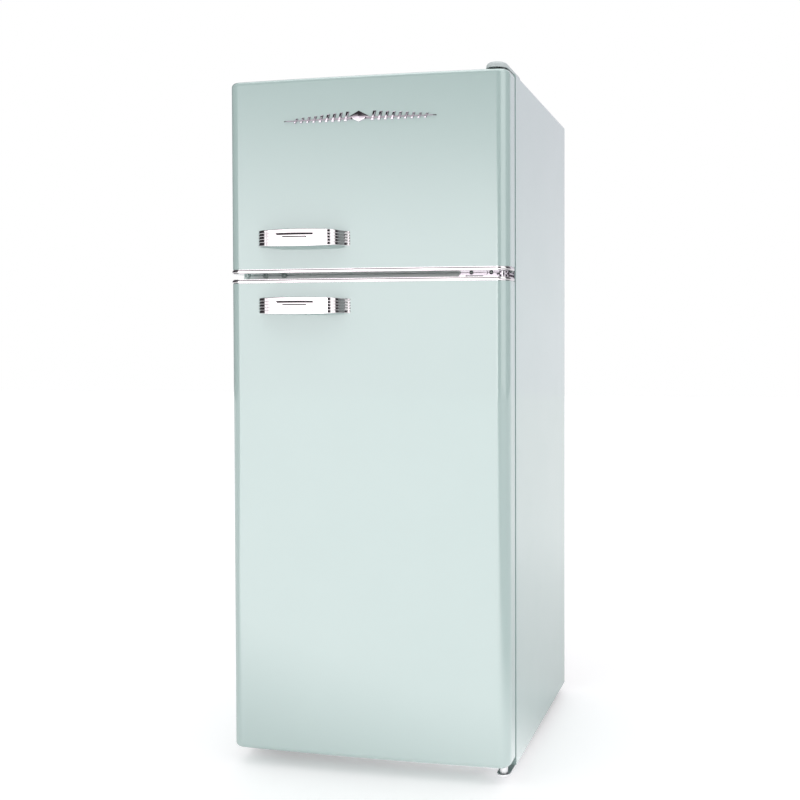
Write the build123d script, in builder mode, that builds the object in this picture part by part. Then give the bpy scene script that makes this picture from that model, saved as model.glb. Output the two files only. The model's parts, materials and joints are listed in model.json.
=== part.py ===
from build123d import *
import os

# Top freezer refrigerator with two bowed doors, rounded corners and a foamed cabinet.
# Frame: millimetres, +Z up, the doors face -Y, +X is the hinge side.
# The origin is on the floor, under the middle of the outer box.

os.makedirs("parts", exist_ok=True)

# ---- driving dimensions ----------------------------------------------------------------

WIDTH = 585.0
HALF = WIDTH / 2
SHEET = 1.0

# depths, from the front (-Y) to the back (+Y)
DEPTH_LIMIT = 320.0              # handle fronts at -DEPTH_LIMIT, wall spacers at +DEPTH_LIMIT
DOOR_FRONT = -278.0              # crown of the bowed door front
DOOR_THICKNESS = 57.0
DOOR_BACK = DOOR_FRONT + DOOR_THICKNESS
SEAL_GAP = 10.0
CABINET_FRONT = DOOR_BACK + SEAL_GAP
CABINET_BACK = 292.0
BACK_PANEL_Y = CABINET_BACK - 2 * SHEET

# heights
CABINET_BOTTOM = 20.0
CABINET_TOP = 1394.0
FRIDGE_DOOR = (34.0, 992.0)
FREEZER_DOOR = (1004.0, 1391.0)
COVER_TOP = 1406.0

# door shape
DOOR_BOW = 6.0
DOOR_CORNER = 24.0
EDGE_ROUND = 9.0
CAP_HEIGHT = 14.0
TRIM_HEIGHT = 8.0
TRIM_PROUD = 1.2
TRIM_DEPTH = 2.0
LINER_THICK = 2.0
SKIN_RETURN = 16.0
DIKE_HALF = 244.0
DIKE_WIDTH = 22.0
BIN_HALF = DIKE_HALF - DIKE_WIDTH - 0.5
GASKET_HALF = 275.5
GASKET_WIDTH = 14.0
GASKET_INSET = 10.0
GASKET_THICK = SEAL_GAP - 0.3

# hinge line, shared by both doors
HINGE_X = 276.5
HINGE_Y = -248.0
PIN_RADIUS = 4.0
PIN_BORE = 4.05
BOSS_RADIUS = 9.0
HINGE_SCREW_Z = 1003.8
SCREW_HEAD = 4.0
SCREW_SHANK = 2.4
HINGE_SCREW_X = (202.0, 243.0, 284.0)

# cabinet shell and cavities
WRAPPER_CORNER = 5.0
FLANGE = 28.0
FLANGE_HALF = HALF - FLANGE
FLANGE_TOP = CABINET_TOP - FLANGE
RAIL_CENTRE = (962.0, 1034.0)
RAIL_BOTTOM = (CABINET_BOTTOM, 66.0)
RAIL_RETURN = 12.0
RAIL_LIP_HALF = 255.0
RAIL_HOLE = 4.0
CAVITY_HALF = 254.0
CAVITY_BACK = 244.0
CAVITY_CORNER = 14.0
FREEZER_CAVITY = (1040.0, 1340.0)
FRIDGE_CAVITY = (72.0, 956.0)
STEP_Y = 85.0
STEP_TOP = 274.0
FOAM_FRONT = CABINET_FRONT + LINER_THICK
INNER_HALF = HALF - SHEET
EVAPORATOR_THICK = 1.5

# compressor compartment
PAN_TOP = CABINET_BOTTOM + 2.0
COMPARTMENT_Y = 121.0
COMPARTMENT_TOP = 232.0

# shelves
SHELF_LEVELS = (278.0, 500.0, 725.0)
GLASS_THICK = 4.0
SHELF_FRONT = -112.0
SHELF_BACK = 236.0
LEDGE = 10.0
WIRE_SHELF_Z = 1186.0

# handles
HANDLE_X = -126.0
HANDLE_LENGTH = 208.0
HANDLE_MIDDLE_HEIGHT = 34.0
HANDLE_END_HEIGHT = 28.0
HANDLE_BAND = 6.0
HANDLE_SHOULDER = 24.0
FREEZER_HANDLE_Z = 1070.0
FRIDGE_HANDLE_Z = 937.0

# badge
BADGE_X = -8.0
BADGE_Z = 1309.0
BADGE_LENGTH = 318.0
BADGE_HEIGHT = 22.0
BADGE_THICK = 3.0

# feet and rollers
FOOT_X = 238.0
FOOT_Y = -155.0
FOOT_RADIUS = 18.0
FOOT_PAD = 8.0
STEM_RADIUS = 5.0
STEM_BORE = 5.05
ROLLER_X = 262.0
ROLLER_Y = 262.0
ROLLER_RADIUS = 16.0
ROLLER_WIDTH = 14.0
AXLE_RADIUS = 3.0
AXLE_BORE = 3.05

# condenser on the back
CONDENSER_Y = 306.0
CONDENSER_LOW = 330.0
CONDENSER_PITCH = 60.0
CONDENSER_RUNS = 17
CONDENSER_HALF = 240.0
TUBE_RADIUS = 2.4
WIRE_RADIUS = 0.8
WIRE_COUNT = 19
RETURN_LEG_X = 270.0
RETURN_LEG_LOW = 300.0

# compressor
COMPRESSOR_X = 60.0
COMPRESSOR_Y = 205.0
COMPRESSOR_LENGTH = 150.0
COMPRESSOR_WIDTH = 116.0
COMPRESSOR_LOW = 48.0
COMPRESSOR_TOP = 185.0
MOUNT_PLATE_Z = 40.0
MOUNT_PLATE_THICK = 3.0
MOUNT_SPACING = (160.0, 80.0)

# mains inlet
GLAND_X = -225.0
GLAND_Z = 48.0
GLAND_BORE = 4.0

# control box under the fresh food ceiling
CONTROL_HALF = 95.0
CONTROL_FRONT = -160.0
CONTROL_BACK = -40.0
CONTROL_LOW = 922.0
KNOB_X = -45.0
KNOB_Z = 939.0
KNOB_RADIUS = 13.0
PLUNGER_X = 60.0
PLUNGER_Z = 932.0
PLUNGER_RADIUS = 4.0
PLUNGER_BORE = 4.05


# ---- shared shapes ---------------------------------------------------------------------


def block(x0, x1, y0, y1, z0, z1, mode=Mode.ADD):
    """A rectangular block between two corners."""
    with Locations(((x0 + x1) / 2, (y0 + y1) / 2, (z0 + z1) / 2)):
        Box(x1 - x0, y1 - y0, z1 - z0, mode=mode)


def upright(x, y, z0, z1, radius, mode=Mode.ADD):
    """A vertical cylinder."""
    with Locations((x, y, (z0 + z1) / 2)):
        Cylinder(radius, z1 - z0, mode=mode)


def crossways(x0, x1, y, z, radius, mode=Mode.ADD):
    """A cylinder along X."""
    with Locations(Location(((x0 + x1) / 2, y, z), (0, 90, 0))):
        Cylinder(radius, x1 - x0, mode=mode)


def lengthways(x, y0, y1, z, radius, mode=Mode.ADD):
    """A cylinder along Y."""
    with Locations(Location((x, (y0 + y1) / 2, z), (90, 0, 0))):
        Cylinder(radius, y1 - y0, mode=mode)


def ring(half, low, high, width, front, back, mode=Mode.ADD):
    """A rectangular ring standing in the XZ plane, between two depths."""
    with BuildSketch(Plane.XZ.offset(-back)) as outline:
        with Locations((0, (low + high) / 2)):
            Rectangle(2 * half, high - low)
            Rectangle(2 * (half - width), high - low - 2 * width, mode=Mode.SUBTRACT)
    extrude(outline.sketch, amount=back - front, mode=mode)


def tray(x0, x1, y0, y1, z0, z1, wall, corner):
    """An open-topped tray with rounded upright corners."""
    middle = ((x0 + x1) / 2, (y0 + y1) / 2)
    with BuildSketch(Plane.XY.offset(z0)) as outside:
        with Locations(middle):
            RectangleRounded(x1 - x0, y1 - y0, corner)
    extrude(outside.sketch, amount=z1 - z0)
    with BuildSketch(Plane.XY.offset(z0 + wall)) as inside:
        with Locations(middle):
            RectangleRounded(x1 - x0 - 2 * wall, y1 - y0 - 2 * wall, corner - wall)
    extrude(inside.sketch, amount=z1 - z0, mode=Mode.SUBTRACT)


def door_section(inset, back, proud=0.0):
    """Door outline from above: bowed front, rounded front corners, flat sides and back."""
    half = HALF - inset
    crown = DOOR_FRONT + inset - proud
    side = crown + DOOR_BOW
    with BuildSketch() as section:
        with BuildLine():
            ThreePointArc((-half, side), (0, crown), (half, side))
            Polyline((half, side), (half, back), (-half, back), (-half, side))
        make_face()
        fillet(section.vertices().group_by(Axis.Y)[0], DOOR_CORNER - inset)
    return section.sketch


def door_prism(inset, back, low, high, proud=0.0, mode=Mode.ADD):
    """The door outline carried up between two heights."""
    with BuildSketch(Plane.XY.offset(low)) as section:
        add(door_section(inset, back, proud))
    extrude(section.sketch, amount=high - low, mode=mode)


def cabinet_outline(inset):
    """Cabinet outline from the front, open to be used as a shell: rounded top corners."""
    height = CABINET_TOP - inset - CABINET_BOTTOM
    with BuildSketch() as outline:
        with Locations((0, CABINET_BOTTOM + height / 2)):
            Rectangle(2 * (HALF - inset), height)
        fillet(outline.vertices().group_by(Axis.Y)[-1], WRAPPER_CORNER - inset)
    return outline.sketch


def rounded_panel(half, low, high, corner, front, back, mode=Mode.ADD):
    """A rounded rectangle in the XZ plane, carried between two depths."""
    with BuildSketch(Plane.XZ.offset(-back)) as outline:
        with Locations((0, (low + high) / 2)):
            RectangleRounded(2 * half, high - low, corner)
    extrude(outline.sketch, amount=back - front, mode=mode)


def pipe(points, bend, radius):
    """A round pipe along straight runs joined by bends."""
    with BuildLine() as route:
        FilletPolyline(*points, radius=bend)
    with BuildSketch(Plane(origin=route.line @ 0, z_dir=route.line % 0)) as bore:
        Circle(radius)
    sweep(bore.sketch, path=route.line)


# ---- cabinet shell ---------------------------------------------------------------------

with BuildPart() as cabinet_wrapper:
    with BuildSketch(Plane.XZ.offset(-CABINET_BACK)):
        add(cabinet_outline(0))
        add(cabinet_outline(SHEET), mode=Mode.SUBTRACT)
    extrude(amount=CABINET_BACK - CABINET_FRONT)
    with BuildSketch(Plane.XZ.offset(-CABINET_FRONT - SHEET)):
        add(cabinet_outline(0))
        with Locations((0, (CABINET_BOTTOM + FLANGE_TOP) / 2)):
            Rectangle(2 * FLANGE_HALF, FLANGE_TOP - CABINET_BOTTOM, mode=Mode.SUBTRACT)
    extrude(amount=SHEET)
    lengthways(-HINGE_SCREW_X[2], CABINET_FRONT - 1, CABINET_FRONT + 3, HINGE_SCREW_Z,
               RAIL_HOLE, Mode.SUBTRACT)
cabinet_wrapper.part.label = "cabinet_wrapper"
export_step(cabinet_wrapper.part, "parts/cabinet_wrapper.step")

with BuildPart() as front_rails:
    for low, high in (RAIL_CENTRE, RAIL_BOTTOM):
        block(-FLANGE_HALF, FLANGE_HALF, CABINET_FRONT, CABINET_FRONT + SHEET, low, high)
    for lip in (RAIL_CENTRE[0], RAIL_CENTRE[1] - SHEET, RAIL_BOTTOM[1] - SHEET):
        block(-RAIL_LIP_HALF, RAIL_LIP_HALF, CABINET_FRONT, CABINET_FRONT + SHEET + RAIL_RETURN,
              lip, lip + SHEET)
    for x in HINGE_SCREW_X[:2]:
        lengthways(-x, CABINET_FRONT - 1, CABINET_FRONT + 3, HINGE_SCREW_Z, RAIL_HOLE, Mode.SUBTRACT)
front_rails.part.label = "front_rails"
export_step(front_rails.part, "parts/front_rails.step")

PLUG_HEAD = 6.0
PLUG_RISE = 2.0
PLUG_STEM = RAIL_HOLE - 0.1

with BuildPart() as rail_hole_plugs:
    for x in HINGE_SCREW_X:
        lengthways(-x, CABINET_FRONT - PLUG_RISE, CABINET_FRONT, HINGE_SCREW_Z, PLUG_HEAD)
        lengthways(-x, CABINET_FRONT, CABINET_FRONT + SHEET + 0.8, HINGE_SCREW_Z, PLUG_STEM)
    fillet(rail_hole_plugs.faces().group_by(Axis.Y)[0].edges(), PLUG_RISE * 0.6)
rail_hole_plugs.part.label = "rail_hole_plugs"
export_step(rail_hole_plugs.part, "parts/rail_hole_plugs.step")

with BuildPart() as back_panel:
    block(-INNER_HALF, INNER_HALF, BACK_PANEL_Y, BACK_PANEL_Y + SHEET,
          COMPARTMENT_TOP + SHEET, CABINET_TOP - WRAPPER_CORNER)
back_panel.part.label = "back_panel"
export_step(back_panel.part, "parts/back_panel.step")

with BuildPart() as compartment_panel:
    block(-INNER_HALF, INNER_HALF, COMPARTMENT_Y, COMPARTMENT_Y + SHEET, PAN_TOP, COMPARTMENT_TOP)
    block(-INNER_HALF, INNER_HALF, COMPARTMENT_Y, BACK_PANEL_Y + SHEET,
          COMPARTMENT_TOP, COMPARTMENT_TOP + SHEET)
compartment_panel.part.label = "compartment_panel"
export_step(compartment_panel.part, "parts/compartment_panel.step")

FOOT_BOSS_TOP = PAN_TOP + 24.0
ROLLER_SLOT_HALF = 9.0
ROLLER_SLOT_REACH = 18.0
EAR_X = 11.75
EAR_THICK = 2.5
EAR_REACH = 8.0
AXLE_HALF = 15.0
GLAND_PLATE_HALF = 25.0
GLAND_PLATE_TOP = GLAND_Z + 22.0
GLAND_NECK = 8.0

with BuildPart() as base_pan:
    block(-INNER_HALF, INNER_HALF, FOAM_FRONT, BACK_PANEL_Y, CABINET_BOTTOM, PAN_TOP)
    for side in (-1, 1):
        upright(side * FOOT_X, FOOT_Y, PAN_TOP, FOOT_BOSS_TOP, BOSS_RADIUS)
        upright(side * FOOT_X, FOOT_Y, CABINET_BOTTOM - 1, FOOT_BOSS_TOP + 1, STEM_BORE, Mode.SUBTRACT)
        block(side * ROLLER_X - ROLLER_SLOT_HALF, side * ROLLER_X + ROLLER_SLOT_HALF,
              ROLLER_Y - ROLLER_SLOT_REACH, ROLLER_Y + ROLLER_SLOT_REACH,
              CABINET_BOTTOM - 1, PAN_TOP + 1, mode=Mode.SUBTRACT)
        for ear in (side * ROLLER_X - EAR_X, side * ROLLER_X + EAR_X):
            block(ear - EAR_THICK / 2, ear + EAR_THICK / 2, ROLLER_Y - EAR_REACH, ROLLER_Y + EAR_REACH,
                  ROLLER_RADIUS - EAR_REACH, CABINET_BOTTOM)
        crossways(side * ROLLER_X - AXLE_HALF, side * ROLLER_X + AXLE_HALF, ROLLER_Y, ROLLER_RADIUS,
                  AXLE_BORE, Mode.SUBTRACT)
    block(GLAND_X - GLAND_PLATE_HALF, GLAND_X + GLAND_PLATE_HALF,
          BACK_PANEL_Y - 4, BACK_PANEL_Y - 2, PAN_TOP, GLAND_PLATE_TOP)
    lengthways(GLAND_X, BACK_PANEL_Y - 5, BACK_PANEL_Y, GLAND_Z, GLAND_NECK, Mode.SUBTRACT)
base_pan.part.label = "base_pan"
export_step(base_pan.part, "parts/base_pan.step")

# ---- insulation and liners -------------------------------------------------------------

OUTER_CAVITY = CAVITY_HALF + LINER_THICK
FOAM_BACK = CAVITY_BACK + LINER_THICK + EVAPORATOR_THICK

FOAM_TOP = CABINET_TOP - WRAPPER_CORNER
FOAM_STEP = STEP_TOP - LINER_THICK
BEHIND_RAIL = CABINET_FRONT + SHEET + RAIL_RETURN

FOAM_SLABS = {
    "left wall": (-INNER_HALF, -OUTER_CAVITY, FOAM_FRONT, BACK_PANEL_Y, FOAM_STEP, FOAM_TOP),
    "right wall": (OUTER_CAVITY, INNER_HALF, FOAM_FRONT, BACK_PANEL_Y, FOAM_STEP, FOAM_TOP),
    "left wall foot": (-INNER_HALF, -OUTER_CAVITY, FOAM_FRONT, COMPARTMENT_Y, PAN_TOP, FOAM_STEP),
    "right wall foot": (OUTER_CAVITY, INNER_HALF, FOAM_FRONT, COMPARTMENT_Y, PAN_TOP, FOAM_STEP),
    "step front": (-OUTER_CAVITY, OUTER_CAVITY, STEP_Y + LINER_THICK, COMPARTMENT_Y, PAN_TOP, FOAM_STEP),
    "step top": (-INNER_HALF, INNER_HALF, COMPARTMENT_Y, BACK_PANEL_Y,
                 COMPARTMENT_TOP + SHEET, FOAM_STEP),
    "back wall": (-OUTER_CAVITY, OUTER_CAVITY, FOAM_BACK, BACK_PANEL_Y, FOAM_STEP, FOAM_TOP),
    "roof": (-OUTER_CAVITY, OUTER_CAVITY, FOAM_FRONT, FOAM_BACK,
             FREEZER_CAVITY[1] + LINER_THICK, CABINET_TOP - SHEET),
    "divider": (-OUTER_CAVITY, OUTER_CAVITY, BEHIND_RAIL, CAVITY_BACK + LINER_THICK,
                FRIDGE_CAVITY[1] + LINER_THICK, FREEZER_CAVITY[0] - LINER_THICK),
    "floor": (-OUTER_CAVITY, OUTER_CAVITY, BEHIND_RAIL, STEP_Y + LINER_THICK,
              PAN_TOP, FRIDGE_CAVITY[0] - LINER_THICK),
}

foam_slabs = []
for place, corners in FOAM_SLABS.items():
    with BuildPart() as slab:
        block(*corners)
        if place == "floor":
            for side in (-1, 1):
                upright(side * FOOT_X, FOOT_Y, PAN_TOP - 1, FOOT_BOSS_TOP + 2,
                        BOSS_RADIUS + 0.5, Mode.SUBTRACT)
    foam_slabs.extend(slab.part.solids())
cabinet_insulation = Compound(label="cabinet_insulation", children=foam_slabs)
export_step(cabinet_insulation, "parts/cabinet_insulation.step")

with BuildPart() as freezer_liner:
    low, high = FREEZER_CAVITY
    lip_low = RAIL_CENTRE[1]
    block(-FLANGE_HALF, FLANGE_HALF, CABINET_FRONT, FOAM_FRONT, lip_low, FLANGE_TOP)
    rounded_panel(OUTER_CAVITY, low - LINER_THICK, high + LINER_THICK, CAVITY_CORNER + LINER_THICK,
                  CABINET_FRONT, CAVITY_BACK + LINER_THICK)
    rounded_panel(CAVITY_HALF, low, high, CAVITY_CORNER, CABINET_FRONT - 1, CAVITY_BACK, Mode.SUBTRACT)
    for side in (-1, 1):
        inner = side * (CAVITY_HALF - LEDGE)
        wall = side * (CAVITY_HALF + LINER_THICK / 2)
        block(min(inner, wall), max(inner, wall), SHELF_FRONT + 17, CAVITY_BACK + 1,
              WIRE_SHELF_Z - 10, WIRE_SHELF_Z - 3)
freezer_liner.part.label = "freezer_liner"
export_step(freezer_liner.part, "parts/freezer_liner.step")


def fridge_profile(grow):
    """Fresh food cavity seen from the side, with the step over the compressor."""
    low = FRIDGE_CAVITY[0] - grow
    high = FRIDGE_CAVITY[1] + grow
    back = CAVITY_BACK + grow
    with BuildSketch() as profile:
        with BuildLine():
            Polyline((CABINET_FRONT, low), (STEP_Y + grow, low), (STEP_Y + grow, STEP_TOP - grow),
                     (back, STEP_TOP - grow), (back, high), (CABINET_FRONT, high), close=True)
        make_face()
    return profile.sketch


with BuildPart() as fresh_food_liner:
    block(-FLANGE_HALF, FLANGE_HALF, CABINET_FRONT, FOAM_FRONT, RAIL_BOTTOM[1], RAIL_CENTRE[0])
    with BuildSketch(Plane.YZ):
        add(fridge_profile(LINER_THICK))
    extrude(amount=OUTER_CAVITY, both=True)
    with BuildSketch(Plane.YZ):
        add(fridge_profile(0))
    extrude(amount=CAVITY_HALF, both=True, mode=Mode.SUBTRACT)
    for side in (-1, 1):
        inner = side * (CAVITY_HALF - LEDGE)
        wall = side * (CAVITY_HALF + LINER_THICK / 2)
        for level in SHELF_LEVELS:
            block(min(inner, wall), max(inner, wall), SHELF_FRONT + 17, CAVITY_BACK + 1,
                  level - 6, level)
fresh_food_liner.part.label = "fresh_food_liner"
export_step(fresh_food_liner.part, "parts/fresh_food_liner.step")

FREEZER_PLATE = (200.0, 1060.0, 1320.0)   # half width, bottom, top
FRIDGE_PLATE = (180.0, 560.0, 900.0)

with BuildPart() as evaporator_plates:
    back = CAVITY_BACK + LINER_THICK
    for half, low, high in (FREEZER_PLATE, FRIDGE_PLATE):
        block(-half, half, back, back + EVAPORATOR_THICK, low, high)
evaporator_plates.part.label = "evaporator_plates"
export_step(evaporator_plates.part, "parts/evaporator_plates.step")

# ---- hinges and fasteners --------------------------------------------------------------

TOP_PLATE = (CABINET_TOP, CABINET_TOP + 3)
TOP_PLATE_X = 268.0
TOP_PLATE_HALF = 16.5
TOP_PLATE_BACK = -158.0
TOP_SCREW_Y = (-190.0, -168.0)
SCREW_HOLE = 2.5
SCREW_RISE = 2.0
CENTRE_TAB = (996.5, 999.5)
BOTTOM_PLATE = (CABINET_BOTTOM - 3, CABINET_BOTTOM)
BOTTOM_SCREWS = ((246.0, -194.0), (276.0, -194.0))

with BuildPart() as top_hinge_bracket:
    with BuildSketch(Plane.XY.offset(TOP_PLATE[0])) as plate:
        with Locations((TOP_PLATE_X, (HINGE_Y + TOP_PLATE_BACK) / 2)):
            Rectangle(2 * TOP_PLATE_HALF, TOP_PLATE_BACK - HINGE_Y)
        with Locations((TOP_PLATE_X, HINGE_Y)):
            Circle(TOP_PLATE_HALF)
        with Locations(*[(TOP_PLATE_X, y) for y in TOP_SCREW_Y]):
            Circle(SCREW_HOLE, mode=Mode.SUBTRACT)
    extrude(amount=TOP_PLATE[1] - TOP_PLATE[0])
    upright(HINGE_X, HINGE_Y, FREEZER_DOOR[1] - 11.5, TOP_PLATE[1], PIN_RADIUS)
top_hinge_bracket.part.label = "top_hinge_bracket"
export_step(top_hinge_bracket.part, "parts/top_hinge_bracket.step")

COVER_X = 265.0
COVER_RADIUS = 22.0
COVER_NOSE_Y = -247.0
COVER_BACK = -152.0
COVER_WALL = 1.6
COVER_ROUND = 9.0


def cover_outline(inset):
    """Hinge cover from above: a round nose and a straight body."""
    radius = COVER_RADIUS - inset
    with BuildSketch() as outline:
        with BuildLine():
            ThreePointArc((COVER_X - radius, COVER_NOSE_Y), (COVER_X, COVER_NOSE_Y - radius),
                          (COVER_X + radius, COVER_NOSE_Y))
            Polyline((COVER_X + radius, COVER_NOSE_Y), (COVER_X + radius, COVER_BACK - inset),
                     (COVER_X - radius, COVER_BACK - inset), (COVER_X - radius, COVER_NOSE_Y))
        make_face()
    return outline.sketch


with BuildPart() as top_hinge_cover:
    with BuildSketch(Plane.XY.offset(CABINET_TOP + 0.2)):
        add(cover_outline(0))
    extrude(amount=COVER_TOP - CABINET_TOP - 0.2)
    fillet(top_hinge_cover.faces().sort_by(Axis.Z)[-1].edges(), COVER_ROUND)
    shoulder_z = COVER_TOP - COVER_ROUND
    with BuildSketch(Plane.XY.offset(CABINET_TOP)):
        add(cover_outline(COVER_WALL))
    extrude(amount=shoulder_z + 0.5 - CABINET_TOP, mode=Mode.SUBTRACT)
    with BuildSketch(Plane.XY.offset(shoulder_z)):
        add(cover_outline(COVER_WALL + 4))
    extrude(amount=COVER_ROUND - COVER_WALL, mode=Mode.SUBTRACT)
top_hinge_cover.part.label = "top_hinge_cover"
export_step(top_hinge_cover.part, "parts/top_hinge_cover.step")

CENTRE_PLATE = (176.0, 186.0, 290.0, 986.0, 1010.0)   # pointed tip, body left, right, bottom, top
CENTRE_TIP_Z = 998.0
CENTRE_THICK = 3.0
STOP_BAR = (229.0, 262.0)
SLOT_X = (190.0, 226.0)
SLOT_Z = (991.0, 998.5)
SLOT_BAR_Z = (993.5, 996.0)
RIVET_X = 231.5
WASHER_RADIUS = 8.0
TAB_NOSE = 13.5
WASHER_GAP = 0.6

with BuildPart() as centre_hinge:
    plate_front = CABINET_FRONT - CENTRE_THICK
    tip, body, edge, low, high = CENTRE_PLATE
    with BuildSketch(Plane.XZ.offset(-CABINET_FRONT)) as plate:
        with BuildLine():
            Polyline((tip, CENTRE_TIP_Z), (body, high), (edge, high), (edge, low), (body, low), close=True)
        make_face()
        with Locations(*[(x, HINGE_SCREW_Z) for x in HINGE_SCREW_X]):
            Circle(SCREW_HOLE, mode=Mode.SUBTRACT)
    extrude(amount=CENTRE_THICK)
    block(*SLOT_X, plate_front - 1, CABINET_FRONT + 1, *SLOT_Z, Mode.SUBTRACT)
    block(SLOT_X[0] - 2, SLOT_X[1] + 2, plate_front - 1, plate_front + 1, *SLOT_BAR_Z)
    block(STOP_BAR[1], edge, HINGE_Y, plate_front, *CENTRE_TAB)
    upright(HINGE_X, HINGE_Y, *CENTRE_TAB, TAB_NOSE)
    block(*STOP_BAR, plate_front - 3.5, plate_front, *CENTRE_TAB)
    lengthways(RIVET_X, plate_front - CENTRE_THICK, plate_front, HINGE_SCREW_Z, SCREW_HEAD)
    upright(HINGE_X, HINGE_Y, CENTRE_TAB[1], FREEZER_DOOR[0] - WASHER_GAP, WASHER_RADIUS)
    upright(HINGE_X, HINGE_Y, FRIDGE_DOOR[1] + WASHER_GAP, CENTRE_TAB[0], WASHER_RADIUS)
    upright(HINGE_X, HINGE_Y, FRIDGE_DOOR[1] - 14.5, FREEZER_DOOR[0] + 14.5, PIN_RADIUS)
centre_hinge.part.label = "centre_hinge"
export_step(centre_hinge.part, "parts/centre_hinge.step")

BOTTOM_PLATE_X = (232.0, 290.0)
BOTTOM_PLATE_Y = (-230.0, -182.0)

with BuildPart() as bottom_hinge_bracket:
    block(*BOTTOM_PLATE_X, *BOTTOM_PLATE_Y, *BOTTOM_PLATE)
    block(HINGE_X - TAB_NOSE, HINGE_X + TAB_NOSE, HINGE_Y, BOTTOM_PLATE_Y[0], *BOTTOM_PLATE)
    upright(HINGE_X, HINGE_Y, *BOTTOM_PLATE, TAB_NOSE)
    for x, y in BOTTOM_SCREWS:
        upright(x, y, BOTTOM_PLATE[0] - 1, BOTTOM_PLATE[1] + 1, SCREW_HOLE, Mode.SUBTRACT)
    upright(HINGE_X, HINGE_Y, BOTTOM_PLATE[1], FRIDGE_DOOR[0] - WASHER_GAP, WASHER_RADIUS)
    upright(HINGE_X, HINGE_Y, BOTTOM_PLATE[1], FRIDGE_DOOR[0] + 11, PIN_RADIUS)
bottom_hinge_bracket.part.label = "bottom_hinge_bracket"
export_step(bottom_hinge_bracket.part, "parts/bottom_hinge_bracket.step")

BOLT_RADIUS = 3.0
NUT_RADIUS = 6.5
MOUNT_POINTS = [
    (COMPRESSOR_X + sx * MOUNT_SPACING[0] / 2, COMPRESSOR_Y + sy * MOUNT_SPACING[1] / 2)
    for sx in (-1, 1) for sy in (-1, 1)
]

with BuildPart() as screws_and_bolts:
    for y in TOP_SCREW_Y:
        upright(TOP_PLATE_X, y, *TOP_PLATE, SCREW_SHANK)
        upright(TOP_PLATE_X, y, TOP_PLATE[1], TOP_PLATE[1] + SCREW_RISE, SCREW_HEAD)
    for x in HINGE_SCREW_X:
        lengthways(x, plate_front, CABINET_FRONT, HINGE_SCREW_Z, SCREW_SHANK)
        lengthways(x, plate_front - SCREW_RISE, plate_front, HINGE_SCREW_Z, SCREW_HEAD)
    for x, y in BOTTOM_SCREWS:
        upright(x, y, *BOTTOM_PLATE, SCREW_SHANK)
        upright(x, y, BOTTOM_PLATE[0] - SCREW_RISE, BOTTOM_PLATE[0], SCREW_HEAD)
    for x, y in MOUNT_POINTS:
        upright(x, y, PAN_TOP, MOUNT_PLATE_Z + 12, BOLT_RADIUS)
        with BuildSketch(Plane.XY.offset(MOUNT_PLATE_Z + MOUNT_PLATE_THICK)) as nut:
            with Locations((x, y)):
                RegularPolygon(NUT_RADIUS, 6)
        extrude(amount=5)
screws_and_bolts.part.label = "screws_and_bolts"
export_step(screws_and_bolts.part, "parts/screws_and_bolts.step")

# ---- refrigeration circuit -------------------------------------------------------------

CONDENSER_TOP = CONDENSER_LOW + CONDENSER_PITCH * (CONDENSER_RUNS - 1)
BEND = CONDENSER_PITCH / 2
PIPE_BEND = 12.0
WIRE_SPREAD = 432.0
WIRE_OVERHANG = 12.0

with BuildPart() as condenser_tube:
    turn_x = CONDENSER_HALF - BEND
    with BuildLine(Plane.XZ.offset(-CONDENSER_Y)) as route:
        Line((-CONDENSER_HALF, CONDENSER_LOW), (turn_x, CONDENSER_LOW))
        for run in range(1, CONDENSER_RUNS):
            side = 1 if run % 2 else -1
            z = CONDENSER_LOW + CONDENSER_PITCH * run
            ThreePointArc((side * turn_x, z - CONDENSER_PITCH), (side * CONDENSER_HALF, z - BEND),
                          (side * turn_x, z))
            if run < CONDENSER_RUNS - 1:
                Line((side * turn_x, z), (-side * turn_x, z))
        FilletPolyline((-turn_x, CONDENSER_TOP), (RETURN_LEG_X, CONDENSER_TOP),
                       (RETURN_LEG_X, RETURN_LEG_LOW), radius=PIPE_BEND)
    with BuildSketch(Plane(origin=route.line @ 0, z_dir=route.line % 0)):
        Circle(TUBE_RADIUS)
    sweep(path=route.line)
condenser_tube.part.label = "condenser_tube"
export_step(condenser_tube.part, "parts/condenser_tube.step")

with BuildPart() as condenser_wires:
    wire_y = CONDENSER_Y + TUBE_RADIUS + WIRE_RADIUS
    for index in range(WIRE_COUNT):
        x = WIRE_SPREAD * (index / (WIRE_COUNT - 1) - 0.5)
        upright(x, wire_y, CONDENSER_LOW - WIRE_OVERHANG, CONDENSER_TOP + WIRE_OVERHANG, WIRE_RADIUS)
condenser_wires.part.label = "condenser_wires"
export_step(condenser_wires.part, "parts/condenser_wires.step")

SPACER_X = 251.0
SPACER_LEVELS = (420.0, 1140.0)
SPACER_HALF = 8.0
SPACER_NOSE = 12.0
SPACER_FLANGE = 24.0

with BuildPart() as condenser_brackets:
    root = BACK_PANEL_Y + SHEET
    for x in (-SPACER_X, SPACER_X):
        for z in SPACER_LEVELS:
            block(x - SPACER_HALF, x + SPACER_HALF, root, DEPTH_LIMIT, z - SPACER_NOSE, z + SPACER_NOSE)
            block(x - SPACER_HALF, x + SPACER_HALF, root, root + 3, z - SPACER_FLANGE, z + SPACER_FLANGE)
    fillet(condenser_brackets.faces().group_by(Axis.Y)[-1].edges(), 3)
condenser_brackets.part.label = "condenser_brackets"
export_step(condenser_brackets.part, "parts/condenser_brackets.step")

SHELL_ROUND_TOP = 30.0
SHELL_ROUND_BOTTOM = 20.0
SEAM_Z = 112.0
SEAM_HEIGHT = 5.0
SEAM_PROUD = 3.0
MOUNT_MARGIN = 16.0
MOUNT_HOLE = 4.0
PEDESTAL_RADIUS = 30.0

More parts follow.
